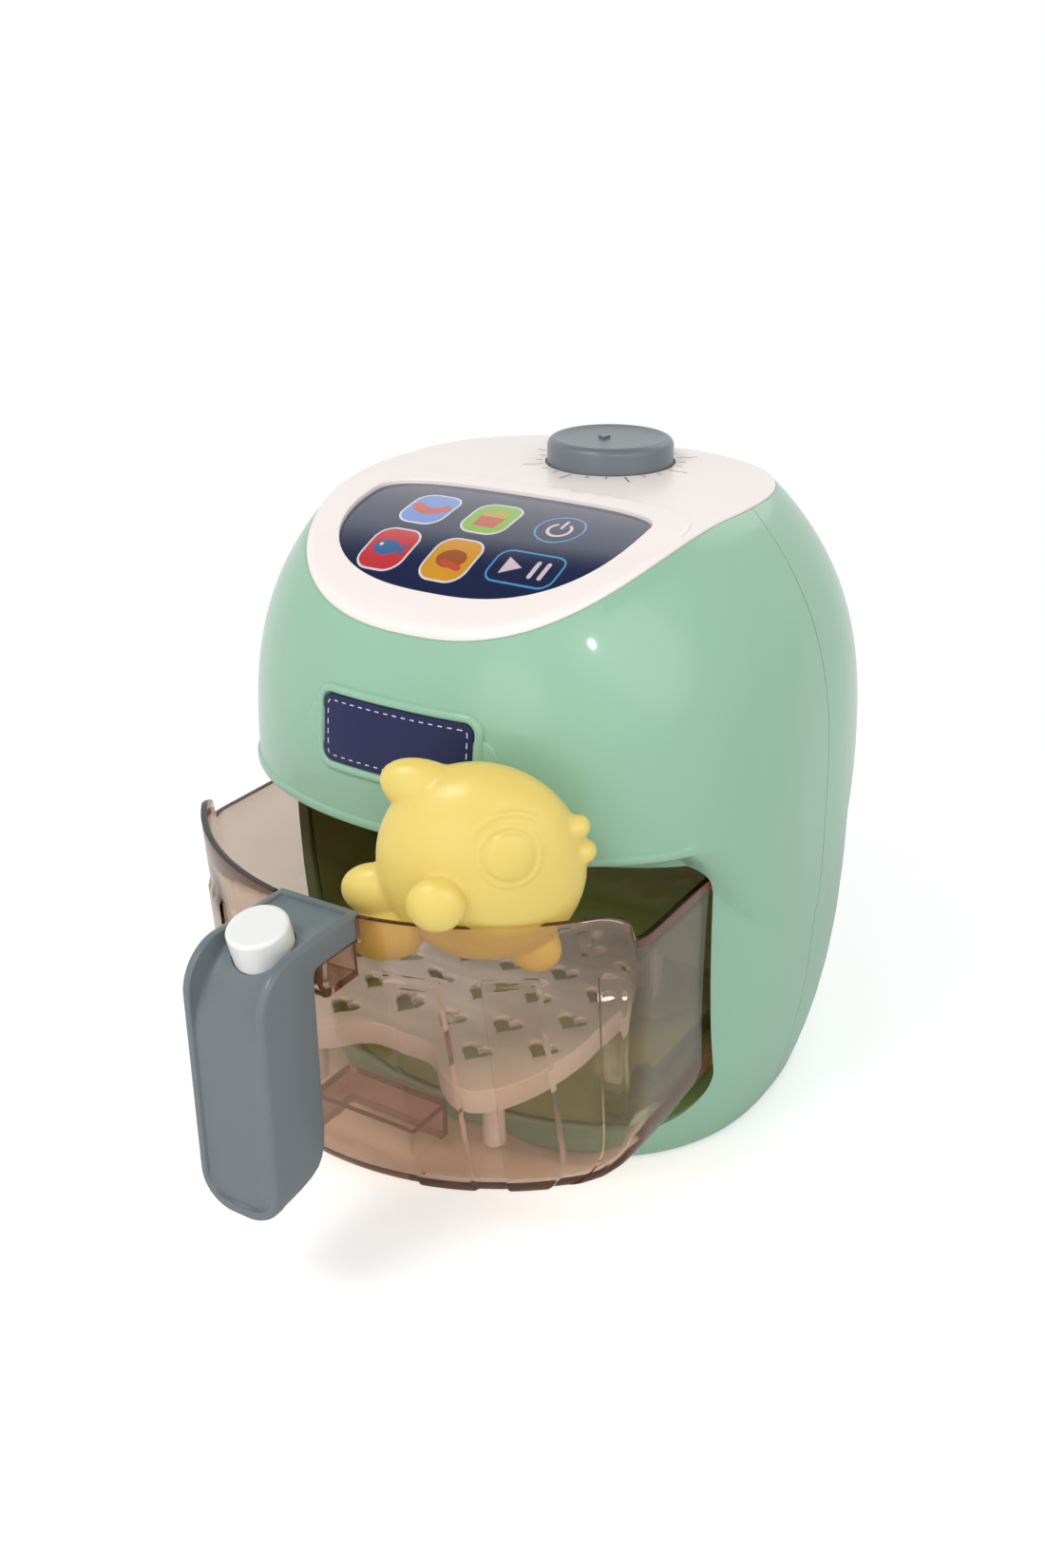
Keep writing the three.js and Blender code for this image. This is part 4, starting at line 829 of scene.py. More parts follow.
def top_cover():
    def edge(inset, lift):
        plan = [body_point(a, z, 1, inset) for a, z in zip(ANGLES, SHOULDERS)]
        return [(x, y, z + lift) for x, y, z in plan]

    rims = edge(COVER_EDGE_INSET, 0)

    def top(share, drop):
        return [(x * share, y * share, cover_height(y * share) - drop) for x, y, _ in rims]

    rings = [top(0.4, COVER_THICKNESS), top(0.85, COVER_THICKNESS)]
    for inset, lift in ((SKIRT_INNER, -GAP), (SKIRT_INNER, -SKIRT_DEPTH), (SKIRT_OUTER, -SKIRT_DEPTH)):
        rings.append(edge(inset, lift))
    rings.append(edge(SKIRT_OUTER, GAP))
    rings += [edge(COVER_EDGE_INSET, 0.1)]
    rings += [top(1 - COVER_ROUND_SHARE * (1 - c), COVER_ROUND * (1 - s)) for c, s in quarter(8)]
    rings += [top(share, 0) for share in (0.94, 0.88, 0.8, 0.7, 0.6, 0.5, 0.4, 0.3, 0.2, 0.1)]
    piece = loft("cover", rings)
    recess_floor = DISPLAY_RECESS + DISPLAY_THICKNESS + GAP
    recess = flared("recess", lambda m: display_outline(GAP + m), recess_floor, RECESS_ROUND)
    deck = flared("deck", deck_outline, DECK_DROP, DECK_ROUND)
    hole = prism("hole", circle(SHAFT_HOLE_RADIUS, 0, KNOB_Y, 30), CUT_LOW, CUT_HIGH)
    well = prism("well", circle(KNOB_RADIUS + WELL_MARGIN, 0, KNOB_Y), DECK_HEIGHT - WELL_DEPTH, CUT_HIGH)
    combine(piece, [recess, deck, hole, well])
    finish(piece, WHITE, "housing", "top_cover", 28)


def display_panel():
    piece = prism("display", display_outline(0), CUT_LOW, CUT_HIGH)
    combine(piece, [cover_slab(-DISPLAY_RECESS - DISPLAY_THICKNESS, -DISPLAY_RECESS)], "INTERSECT")
    finish(piece, NAVY, "housing", "display_panel", 28)


KEY_X = (-21, -1)
KEY_Y = (-36.6, -56)
KEY_SIZE = (6.6, 7.6, 4.4)
POWER_PLACE = (20.3, -36.6)
START_PLACE = (20.9, -54.8)
START_SIZE = (9.6, 5.6, 3.2)
PRINT_RISE = 0.02
PRINT_STEP = 1.5


def printed(name, colour, layer, place, *outlines):
    """A print on the display round a place, one layer over the one before."""
    rise = PRINT_RISE * layer - DISPLAY_RECESS
    x, y = place
    piece = flat_plate(name, [[(x + u, y + v) for u, v in outline] for outline in outlines], -FILM, 0)
    press_on(piece, 1, PRINT_STEP, lambda u, v, w: (u, v, cover_height(v) + rise + w))
    finish(piece, PRINTS[colour], "housing", None, 40)


def touch_keys():
    """Six printed touch keys: four dishes, the power key and the start key."""
    places = [(x, y) for y in KEY_Y for x in KEY_X]
    borders = []
    for place in places:
        borders += [tile(*place, *KEY_SIZE, 0.6), tile(*place, *KEY_SIZE)]
    printed("key_borders", "white", 1, (0, 0), *borders)
    for place, colour in zip(places, ("blue", "green", "red", "amber")):
        printed("key_" + colour, colour, 1, place, tile(0, 0, *KEY_SIZE))
    sausage, potato, fish, roast = places
    printed("sausage", "coral", 2, sausage, stroke(bow(0, 4.2, 5.6, 218, 322), 3.4))
    sticks = [stroke([(k * 1.45, -0.5), (k * 1.75, 3.9 - 0.4 * abs(k))], 1.0) for k in range(-2, 3)]
    printed("sticks", "amber", 2, potato, *sticks)
    printed("stick_box", "coral", 3, potato, [(-3.2, -4.6), (3.2, -4.6), (3.8, 0.6), (-3.8, 0.6)])
    printed("fish_print", "deep_blue", 2, fish, oval(-0.8, 0, 4, 2.9))
    printed("fish_tail_print", "deep_blue", 3, fish, [(5.2, -2.6), (4.6, 0), (5.2, 2.6), (2.4, 0)])
    printed("fish_eye_print", "white", 4, fish, circle(0.6, -3, 0.8, 12))
    printed("roast", "brown", 2, roast, oval(0, 0, 4.4, 3.4))
    printed("drumstick", "coral", 3, roast, stroke([(-1.5, -1.6), (3.8, -3)], 1.9))
    printed("power_ring", "cyan", 1, POWER_PLACE, circle(7, 0, 0, 48), circle(6.45, 0, 0, 48))
    printed("power_arc", "blush", 1, POWER_PLACE, stroke(bow(0, -0.4, 3.2, 128, 412, 30), 0.9))
    printed("power_bar", "blush", 2, POWER_PLACE, stroke([(0, 0.6), (0, 4.2)], 0.9))
    printed("start_ring", "cyan", 1, START_PLACE, tile(0, 0, *START_SIZE, 0.55), tile(0, 0, *START_SIZE))
    printed("start_sign", "blush", 1, START_PLACE, [(-6.4, -3.1), (-1.2, 0), (-6.4, 3.1)])
    bars = [stroke([(x, -2.6), (x, 2.6)], 1.3) for x in (2.6, 5.6)]
    printed("pause_sign", "blush", 1, START_PLACE, *bars)


def dial_marks():
    """Printed marks round the knob: a long one every eighth of a turn and two short ones between."""
    marks = []
    for i in range(24):
        angle = radians(FIRST_TICK + 15 * i)
        reach = LONG_TICK if i % 3 == 0 else SHORT_TICK
        ends = [(r * cos(angle), KNOB_Y + r * sin(angle)) for r in (TICK_START, reach)]
        marks.append(stroke(ends, TICK_WIDTH))
    piece = flat_plate("dial_marks", marks, DECK_HEIGHT - FILM, DECK_HEIGHT + PRINT_RISE)
    finish(piece, TICK_GREY, "housing", None, 40)


def timer_knob():
    foot = DECK_HEIGHT - 0.5
    top = DECK_HEIGHT + GAP + KNOB_HEIGHT
    inner = KNOB_RADIUS - KNOB_WALL
    profile = [(0, SHAFT_FOOT), (SHAFT_RADIUS, SHAFT_FOOT), (SHAFT_RADIUS, top - KNOB_ROOF)]
    profile += [(inner, top - KNOB_ROOF), (inner, foot), (KNOB_RADIUS, foot)]
    profile += [(KNOB_RADIUS - KNOB_EDGE * (1 - c), top - KNOB_EDGE * (1 - s)) for c, s in quarter(8)]
    profile += [(radius, top - drop) for radius, drop in KNOB_DISH]
    piece = lathe("knob", profile, 128, (0, KNOB_Y, 0))
    extras = []
    for i in range(6):
        angle = radians(RIB_TURN) + (i - 2.5) * 0.1
        c, s = cos(angle), sin(angle)
        section = [(u, v + KNOB_RADIUS - RIB_SINK) for u, v in tile(0, 0, *RIB_SIZE, steps=4)]
        outline = [(v * c - u * s, KNOB_Y + v * s + u * c) for u, v in section]
        extras.append(prism("rib", outline, foot + 2, top - 1.3))
    pointer = [(-4.2, KNOB_Y + 0.2), (-1.0, KNOB_Y + 1.6), (-1.4, KNOB_Y - 1.8)]
    extras.append(prism("pointer", pointer, top - 2.7, top - 0.1))
    combine(piece, extras, "UNION")
    finish(piece, KNOB_SLATE, "timer", "timer_knob", 34)


top_cover()
display_panel()
touch_keys()
dial_marks()
timer_knob()

# Drawer

TUB_HALF_WIDTH = 70.8
FRONT_RADIUS = 81.49
FRONT_MIDDLE = -40.01
RIM_HEIGHT = 101
SIDE_RIM = 92
RIM_ROLL_START = 62.6
RIM_ROLL_WIDTH = 7
DRAWER_FLOOR = 19.5
TUB_WALL = 2
SIDE_DRAFT = 1.5
FRONT_DRAFT = 6
BACK_RADIUS = 18
SIDE_FOOT_RADIUS = 12
FRONT_FOOT_RADIUS = 3
FOOT_SHARE = 0.9
CORNER_DEPTH = 5
CORNER_WIDTH = 1.8
FLUTE_TOP = 85
FLUTE_PROUD = 1.0
# Near and far edges of the raised flutes on half of the front, at their tops and at the floor
FLUTES = [(18, 31.7, 23, 36.6), (41.2, 52.4, 44.2, 57.1), (63.6, 68.3, 64.1, 67.3)]
FLUTE_HEIGHTS = (1, 1, 0.35)
FLUTE_STEP = 0.25
FLUTE_BEND = 45  # beyond this the flutes crowd together where the side rounds into the floor
ARM_FRONT = -133.7
ARM_BACK = -119.4
ARM_UNDER = 84
ARM_TOP = 93.7
ARM_HALF_WIDTH = 12
ARM_WALL = 1.5
ARM_BEND = 3
FLOOR_STEP_Y = -98
NOTCH_HALF_WIDTH = 12.8
NOTCH_FRONT = -130
NOTCH_BACK = -117.3


def round_in(radius, rise):
    return radius - sqrt(radius**2 - max(0, radius - rise) ** 2)


def front_columns():
    """Places across half of the front, as (x at the top, x at the floor, share of the flute height)."""
    columns = [(x, x * 1.2, 0) for x in (0, 3, 6, 9, 12, 15)]
    for i, (top0, top1, low0, low1) in enumerate(FLUTES):
        raised = FLUTE_HEIGHTS[i]
        columns.append((top0 - FLUTE_STEP, low0 - FLUTE_STEP, 0))
        columns.append((top0 + FLUTE_STEP, low0 + FLUTE_STEP, raised))
        for k in range(1, 5):
            columns.append((top0 + (top1 - top0) * k / 5, low0 + (low1 - low0) * k / 5, raised))
        columns.append((top1 - FLUTE_STEP, low1 - FLUTE_STEP, raised))
        columns.append((top1 + FLUTE_STEP, low1 + FLUTE_STEP, 0))
        if i < 2:
            after = FLUTES[i + 1]
            for k in range(1, 4):
                columns.append((top1 + (after[0] - top1) * k / 4, low1 + (after[2] - low1) * k / 4, 0))
    columns.append((TUB_HALF_WIDTH - CORNER_WIDTH, 68.4, 0))
    return columns


COLUMNS = front_columns()


def rim_at(x):
    over = min(RIM_ROLL_WIDTH, max(0, abs(x) - RIM_ROLL_START))
    return SIDE_RIM + (RIM_HEIGHT - SIDE_RIM) * sqrt(1 - (over / RIM_ROLL_WIDTH) ** 2)


def mirrored(points):
    return [(-x, y, z) for x, y, z in reversed(points)]


def tub_ring(share, inset, floor=DRAWER_FLOOR, proud=0.0):
    """One level of the drawer: a bowed front, straight sides and rounded back corners."""

    def middle_at(z):
        down = max(0, (RIM_HEIGHT - z) / (RIM_HEIGHT - DRAWER_FLOOR))
        foot = round_in(FRONT_FOOT_RADIUS, max(0, z - floor)) * FOOT_SHARE
        return FRONT_MIDDLE + FRONT_DRAFT * down + foot

    def column_x(top_x, low_x):
        down = max(0, min(1, (FLUTE_TOP - z) / (FLUTE_TOP - DRAWER_FLOOR)))
        return top_x + (low_x - top_x) * down

    z = floor + share * (SIDE_RIM - floor)
    draft = SIDE_DRAFT * max(0, (RIM_HEIGHT - z) / (RIM_HEIGHT - DRAWER_FLOOR))
    half = TUB_HALF_WIDTH - inset - draft - round_in(SIDE_FOOT_RADIUS, max(0, z - floor)) * FOOT_SHARE
    bend = BACK_RADIUS - inset
    right = [(half - bend + bend * c, -inset - draft - bend + bend * s, z) for c, s in quarter(12)]
    radius = FRONT_RADIUS - inset
    corner = middle_at(z) - sqrt(radius**2 - half**2)
    limit = half - CORNER_WIDTH
    last = (-limit, middle_at(z) - sqrt(radius**2 - limit**2))
    left = [(-half, -30, z), (-half, -45, z), (-half, -60, z)]
    for t in (i / 6 for i in range(6)):
        x = (1 - t) ** 2 * -half + 2 * t * (1 - t) * -half + t**2 * last[0]
        y = (1 - t) ** 2 * (corner + CORNER_DEPTH) + 2 * t * (1 - t) * corner + t**2 * last[1]
        left.append((x, y, z))
    squeeze = min(1, (limit - FLUTE_BEND) / (column_x(*COLUMNS[-1][:2]) - FLUTE_BEND))
    front = []
    for top_x, low_x, raised in COLUMNS:
        x = column_x(top_x, low_x)
        if x > FLUTE_BEND:
            x = FLUTE_BEND + (x - FLUTE_BEND) * squeeze
        height = floor + share * (rim_at(x + inset * 0.5) - floor)
        front.append((x, middle_at(height) - sqrt((radius + proud * raised) ** 2 - x**2), height))
    return right + mirrored(right) + left + mirrored(front) + front[1:] + mirrored(left)


def arm_outline(inset):
    front = ARM_FRONT + inset
    low = ARM_UNDER + inset
    high = 99 if inset else ARM_TOP
    bend = [(front + ARM_BEND * (1 - c), low + ARM_BEND * (1 - s)) for c, s in quarter(6)]
    return [(ARM_BACK, high), (front, high)] + bend + [(ARM_BACK, low)]


def floor_block(name, half_wide, half_deep, radius, low, high):
    """A block round the middle of the hollow step in the drawer's floor."""
    return prism(name, tile(0, FLOOR_STEP_Y, half_wide, half_deep, radius, steps=4), low, high)


def drawer_tub():
    levels = [0, 0.006, 0.02, 0.045, 0.08, 0.12, 0.18, 0.3, 0.45, 0.6, 0.7]
    flute_share = (FLUTE_TOP - DRAWER_FLOOR) / (RIM_HEIGHT - DRAWER_FLOOR)
    rings = [tub_ring(0, 3)]
    rings += [tub_ring(share, 0, proud=FLUTE_PROUD) for share in levels + [flute_share - 0.03]]
    for lift, proud in ((-0.018, 0.93), (-0.008, 0.65), (0.003, 0.3), (0.013, 0.06), (0.022, 0)):
        rings.append(tub_ring(flute_share + lift, 0, proud=FLUTE_PROUD * proud))
    rim = [(0.9, 0), (0.96, 0), (0.992, 0), (0.998, 0.15), (1, 0.5), (1, 1.5), (0.998, 1.85)]
    rings += [tub_ring(share, inset) for share, inset in rim]
    inner = [0.992, 0.9, 0.7, 0.5, 0.3, 0.18, 0.1, 0.05, 0.02, 0.006, 0]
    rings += [tub_ring(share, TUB_WALL, DRAWER_FLOOR + TUB_WALL) for share in inner]
    piece = loft("tub", rings)
    w = NOTCH_HALF_WIDTH
    outline = [(-w, NOTCH_FRONT), (w, NOTCH_FRONT), (w, NOTCH_BACK), (-w, NOTCH_BACK)]
    combine(piece, [prism("notch", outline, ARM_TOP, 110), floor_block("hole", 15.35, 6.35, 0.6, 10, 26)])
    arm = prism("arm", arm_outline(0), -ARM_HALF_WIDTH, ARM_HALF_WIDTH, "x")
    inside_arm = ARM_HALF_WIDTH - ARM_WALL
    combine(arm, [prism("arm_in", arm_outline(ARM_WALL), -inside_arm, inside_arm, "x")])
    step = floor_block("step", 17, 8, 1.2, 20.5, 31.5)
    combine(step, [floor_block("hollow", 15.4, 6.4, 0.6, 10, 29.9)])
    combine(piece, [arm, step], "UNION")
    finish(piece, ROSE, "drawer", "drawer_tub")


drawer_tub()

# Handle and button

HANDLE_HALF_WIDTH = 12.5
HANDLE_TOP = 101.4
HANDLE_FRONT = -155
STRAP_BACK = -117.6
STRAP_UNDER = 94
STRAP_END = -134
STRAP_EDGE = 1.2
GRIP_EDGE = 1.3
RIDGE_WIDTH = 1.9
FAR_UP = 999  # a height well above the rounded tip
GRIP_BACK = -136
GRIP_BOTTOM = 31
TIP_RADIUS = 9
BEND_RADIUS = 12
INNER_BEND = 2
PANEL_INSET = 2.6
PANEL_DEPTH = 0.8
PANEL_BEND = 23
PANEL_START = 2.6
PANEL_LEAST = 0.3
POCKET_HALF_WIDTH = 10.7
POCKET_LOW = 49
POCKET_HIGH = 79.4
POCKET_RADIUS = 1.8
POCKET_FLOOR = -139
POCKET_OPEN = -130
BEND_Y = HANDLE_FRONT + BEND_RADIUS
BEND_Z = HANDLE_TOP - BEND_RADIUS
BUTTON_RADIUS = 7.7
BUTTON_EDGE = 1.2
BUTTON_POSE = ((0, -141, 105.2), radians(15))
BORE_DEPTH = 11.6
BORE_RISE = 8
CAP_LENGTH = 8.8
CAP_WALL = 1.4
STEM_RADIUS = 1.6
STEM_FOOT = -8.4
STEM_TOP = -0.7


def tip_width(z, inset):
    """Half width of the grip at a height, rounded at the lower end."""
    half = HANDLE_HALF_WIDTH - inset
    radius = TIP_RADIUS - inset
    low = GRIP_BOTTOM + inset
    if z <= low:
        return 0
    if z >= low + radius:
        return half
    return half - radius + sqrt(radius**2 - (low + radius - z) ** 2)


def handle_stations():
    """Pairs of an outer and an inner (y, z) point along the handle, and the height that shapes its width."""
    strap = (STRAP_BACK, -117.75, -118.1, -118.8, -119.8, -120.15, -120.3, -121, -124, -128, -131, STRAP_END)
    stations = [((y, HANDLE_TOP), (y, STRAP_UNDER), FAR_UP) for y in strap]

    def inner(turn):
        y = GRIP_BACK + INNER_BEND - INNER_BEND * sin(turn)
        return (y, STRAP_UNDER - INNER_BEND + INNER_BEND * cos(turn))

    for i in range(1, 7):
        share = i / 7
        outer = (STRAP_END + (BEND_Y - STRAP_END) * share, HANDLE_TOP)
        stations.append((outer, inner(share * PI / 8), FAR_UP))
    for i, (c, s) in enumerate(quarter(20)):
        outer = (BEND_Y - BEND_RADIUS * s, BEND_Z + BEND_RADIUS * c)
        stations.append((outer, inner(PI / 8 + (PI / 2 - PI / 8) * i / 20), FAR_UP))
    back = [(z, GRIP_BACK) for z in (86, 82, 78, 74, 68, 60, 52)]
    back += [(48, -136.05), (45, -136.4), (42, -137.4), (40, -139)]
    back += [(38.6, -141.5), (37.4, -145), (36.6, -148.6)]
    back += [(z, -151) for z in (36, 35.2, 34.4, 33.8, 33.2, 32.6, 32, 31.5, 31.2, 31.04)]
    return stations + [((HANDLE_FRONT, z), (y, z), z) for z, y in back]


def under_panel(y, z):
    """True under the recessed panel, which bends more gently than the ridges beside it."""
    if z > HANDLE_TOP - PANEL_DEPTH or y < HANDLE_FRONT + PANEL_DEPTH:
        return False
    middle = (HANDLE_FRONT + PANEL_DEPTH + PANEL_BEND, HANDLE_TOP - PANEL_DEPTH - PANEL_BEND)
    if y > middle[0] or z < middle[1]:
        return True
    return hypot(y - middle[0], z - middle[1]) < PANEL_BEND


def panel_depth(start, across, thick):
    low = 0.0
    high = thick
    for _ in range(30):
        middle = (low + high) / 2
        if under_panel(start[0] + across[0] * middle, start[1] + across[1] * middle):
            high = middle
        else:
            low = middle
    return high


def handle_grip():
    rings = []
    for (yo, zo), (yi, zi), level in handle_stations():
        half = tip_width(level, 0)
        panel = tip_width(level, PANEL_INSET)
        strap = STRAP_BACK - yo
        thick = hypot(yi - yo, zi - zo)
        across = ((yi - yo) / thick, (zi - zo) / thick)
        recessed = strap > PANEL_START and panel > PANEL_LEAST
        depth = panel_depth((yo, zo), across, thick) if recessed else 0
        lower = round_in(STRAP_EDGE, strap) if level == FAR_UP else 0
        edge = min(GRIP_EDGE, half * 0.4)
        shelf = max(0.0, min(panel, half - RIDGE_WIDTH))
        soft = min(0.5, depth * 0.4)
        deep = min(1.0, thick * 0.4)
        section = [(0, depth), (shelf * 0.5, depth), (max(0, shelf - soft), depth)]
        section += [(shelf - soft * 0.3, depth - soft * 0.3), (shelf, depth - soft)]
        section += [(shelf + 0.1, min(0.3, depth * 0.3)), (shelf + 0.3, 0.04 * (depth > 0))]
        section += [(min(shelf + 0.6, half - edge), 0)]
        section += [(half - edge + edge * s, edge - edge * c) for c, s in quarter(4)]
        section += [(half - deep + deep * c, thick - deep + deep * s) for c, s in quarter(4)]
        section += [(half * 0.5, thick), (0, thick)]
        section = [(max(0, min(x, half - lower)), min(thick - lower, max(lower, d))) for x, d in section]
        right = [(x, yo + across[0] * d, zo + across[1] * d) for x, d in section]
        rings.append(right + mirrored(right[1:-1]))
    piece = outward(loft("grip", rings))
    outer = BUTTON_RADIUS + GAP
    profile = [(0, -BORE_DEPTH), (outer, -BORE_DEPTH), (outer, BORE_RISE), (0, BORE_RISE)]
    bore = lathe("bore", profile, 96, *BUTTON_POSE)
    half = POCKET_HALF_WIDTH
    outline = rounded_outline(-half, half, POCKET_LOW, POCKET_HIGH, POCKET_RADIUS, 4)
    combine(piece, [bore, prism("pocket", outline, POCKET_FLOOR, POCKET_OPEN, "y")])
    finish(piece, SLATE, "drawer", "handle_grip")


def release_button():
    inner = BUTTON_RADIUS - CAP_WALL
    profile = [(0, -CAP_WALL), (inner, -CAP_WALL), (inner, -CAP_LENGTH), (BUTTON_RADIUS, -CAP_LENGTH)]
    profile += [(BUTTON_RADIUS - BUTTON_EDGE * (1 - c), -BUTTON_EDGE * (1 - s)) for c, s in quarter(8)]
    profile += [(5, 0.0), (0, 0.0)]
    piece = lathe("button", profile, 96, *BUTTON_POSE)
    profile = [(0, STEM_FOOT), (STEM_RADIUS, STEM_FOOT), (STEM_RADIUS, STEM_TOP), (0, STEM_TOP)]
    combine(piece, [lathe("stem", profile, 24, *BUTTON_POSE)], "UNION")
    finish(piece, BUTTON_WHITE, "button", "release_button")


handle_grip()
release_button()

# Crisper tray

TRAY_HALF_WIDTH = 46
TRAY_BACK = -13
TRAY_LENGTH = 88
TRAY_TOP = 46
TRAY_FOOT = 21.8
TRAY_SKIRT = 39
TRAY_UNDER = 44.7
TRAY_EDGE = 0.4
LEG_RADIUS = 3
LEG_BEVEL = 0.4
LEG_TOP = 44.5
TRAY_OUTLINE = [
    (0, 0.845), (0.16, 0.845), (0.27, 0.87), (0.42, 0.95), (0.6, 1), (0.76, 0.97), (0.9, 0.84),
    (0.985, 0.66), (1, 0.45), (1, 0.2), (0.95, 0.06), (0.82, 0), (0.4, 0),
]
HEART_PITCH = (14.7, 15.5)
HEART_BACK = -22.6
HEART_STAGGER = 5.2
LEG_X = 30
LEG_Y = (-88, -24)
LEG_CLEAR = 7.4
EDGE_CLEAR = 6.4


def smooth_closed(points, steps=6):
    """A closed curve through points, as straight steps."""
    result = []
    count = len(points)
    for i in range(count):
        p0, p1, p2, p3 = (points[(i + k - 1) % count] for k in range(4))
        for t in (s / steps for s in range(steps)):
            point = []
            for a, b, c, d in zip(p0, p1, p2, p3):
                bend = (2 * a - 5 * b + 4 * c - d) * t**2 + (3 * b - a - 3 * c + d) * t**3
                point.append(0.5 * (2 * b + (c - a) * t + bend))
            result.append(tuple(point))
    return result


def inside(x, y, outline):
    hit = False
    for i, (ax, ay) in enumerate(outline):
        bx, by = outline[(i + 1) % len(outline)]
        if (ay > y) != (by > y) and x < ax + (y - ay) / (by - ay) * (bx - ax):
            hit = not hit
    return hit


def heart(x, y, width=8.8):
    unit = width / 32
    points = []
    for t in turns(40):
        up = 13 * cos(t) - 5 * cos(2 * t) - 2 * cos(3 * t) - cos(4 * t)
        points.append((x - 16 * sin(t) ** 3 * unit, y + up * unit))
    return points


def crisper_tray():
    right = [(x * TRAY_HALF_WIDTH, TRAY_BACK - y * TRAY_LENGTH) for x, y in TRAY_OUTLINE]
    coarse = right + [(-x, y) for x, y in reversed(right[1:])]
    outline = inset_outline(smooth_closed(coarse), 0.35)
    clear = inset_outline(coarse, EDGE_CLEAR)
    pitch, row_pitch = HEART_PITCH
    hearts = []
    for column in range(-3, 3):
        x = (column + 0.5) * pitch
        stagger = 0 if pitch < abs(x) < 2 * pitch else HEART_STAGGER
        for row in range(6):
            y = HEART_BACK - stagger - row * row_pitch
            near_leg = hypot(abs(x) - LEG_X, min(abs(y - leg) for leg in LEG_Y))
            if inside(x, y, clear) and near_leg >= LEG_CLEAR:
                hearts.append((x, y))
    wider = [heart(x, y + 0.3, 11.4) for x, y in hearts]
    plate = flat_plate("tray", [outline] + [heart(x, y) for x, y in hearts], TRAY_UNDER, TRAY_TOP, TRAY_EDGE)
    pieces = [flat_plate("tray_under", [inset_outline(outline, 0.3)] + wider, 43.6, 45.1)]
    pieces.append(flat_plate("tray_skirt", [outline, inset_outline(outline, 2)], TRAY_SKIRT, 45.4, 0.3))
    profile = [(0, TRAY_FOOT), (LEG_RADIUS - LEG_BEVEL, TRAY_FOOT), (LEG_RADIUS, TRAY_FOOT + LEG_BEVEL)]
    profile += [(LEG_RADIUS, LEG_TOP), (0, LEG_TOP)]
    for x in (-1, 1):
        for y in LEG_Y:
            name = f"tray_leg_{x}_{-y}".replace("-", "m")
            pieces.append(lathe(name, profile, 32, (x * LEG_X, y, 0)))
    for piece in pieces:
        finish(piece, TRAY, "tray")
    finish(plate, TRAY, "tray", "crisper_tray")


crisper_tray()

# Toy fish

FISH_PLACE = (34.7, -98.2, 112)
FISH_TURN = radians(24)
FISH_SIZE = (26, 13.6, 26)
# Radii and places as shares of the body's half length, thickness and height, and a tilt in degrees
FISH_LOBES = {
    "body": ((1, 1, 1), (0, 0, 0), 0),
    "dorsal_fin": ((0.5, 0.4, 0.3), (-0.45, 0, 0.69), -20),
    "tail_top": ((0.36, 0.36, 0.28), (-1.0, 0, -0.36), 0),
    "tail_bottom": ((0.42, 0.36, 0.33), (-0.9, 0, -0.76), 25),
    "belly_fin": ((0.26, 0.36, 0.24), (0.5, 0, -0.88), 0),
    "near_fin": ((0.28, 0.32, 0.27), (-0.32, -1.14, -0.16), 12),
    "far_fin": ((0.33, 0.2, 0.28), (-0.4, 0.86, -0.14), 12),
    "upper_lip": ((0.11, 0.24, 0.11), (0.92, 0, 0.42), 0),
    "lower_lip": ((0.12, 0.26, 0.12), (0.97, 0, 0.17), 0),
}
EYE_PLACE = (8.84, 7.8)
EYE_RADIUS = 5.9
EYE_HEIGHT = 1.3
RING_RADIUS = 7.2
RING_HEIGHT = 0.45
LID_RADIUS = 9.9
LID_HEIGHT = 0.4
LINE_WIDTH = 0.5


def eye_relief(x, z):
    """Height of the moulded eye over the fish's side: a dome, a ring and the lid's line over them."""
    x, z = x - EYE_PLACE[0], z - EYE_PLACE[1]
    away = hypot(x, z)
    dome = EYE_HEIGHT * sqrt(max(0, 1 - (away / EYE_RADIUS) ** 2))
    ring = RING_HEIGHT * exp(-(((away - RING_RADIUS) / LINE_WIDTH) ** 2))
    lid = LID_HEIGHT * exp(-(((away - LID_RADIUS) / LINE_WIDTH) ** 2))
    return dome + ring + lid * ease_share(1.6 - abs(atan2(z, x) - 1.75) / 0.8)


def toy_fish():
    mesh = bpy.data.meshes.new("fish")
    with editing(mesh) as work:
        for radii, place, tilt in FISH_LOBES.values():
            where = Matrix.Translation([p * s * MM for p, s in zip(place, FISH_SIZE)])
            size = Matrix.Diagonal([r * s * MM for r, s in zip(radii, FISH_SIZE)] + [1])
            matrix = where @ Matrix.Rotation(-radians(tilt), 4, "Y") @ size
            bmesh.ops.create_uvsphere(work, u_segments=40, v_segments=24, radius=1, matrix=matrix)
    piece = add_object("fish", mesh)
    remesh = piece.modifiers.new("remesh", "REMESH")
    remesh.mode = "VOXEL"
    remesh.voxel_size = 0.6 * MM
    soften = piece.modifiers.new("soften", "SMOOTH")
    soften.factor = 0.5
    soften.iterations = 12
    apply_modifiers(piece)
    mesh = piece.data
    for vert in mesh.vertices:
        if vert.co.y <= 0:
            vert.co.y -= eye_relief(vert.co.x / MM, vert.co.z / MM) * MM
    mesh.transform(Matrix.Translation([v * MM for v in FISH_PLACE]) @ Matrix.Rotation(FISH_TURN, 4, "Z"))
    for vert in mesh.vertices:
        x, y, z = (v / MM for v in vert.co)
        if z > VISOR_HEIGHT:
            rest = front_y(x, z) - (GAP + BEAD_PROUD * (z < VISOR_HEIGHT + BEAD_HEIGHT + 1))
            vert.co.y = min(y, rest) * MM
    finish(piece, YELLOW, "fish", "toy_fish", 80)


toy_fish()

# Floor, light and background

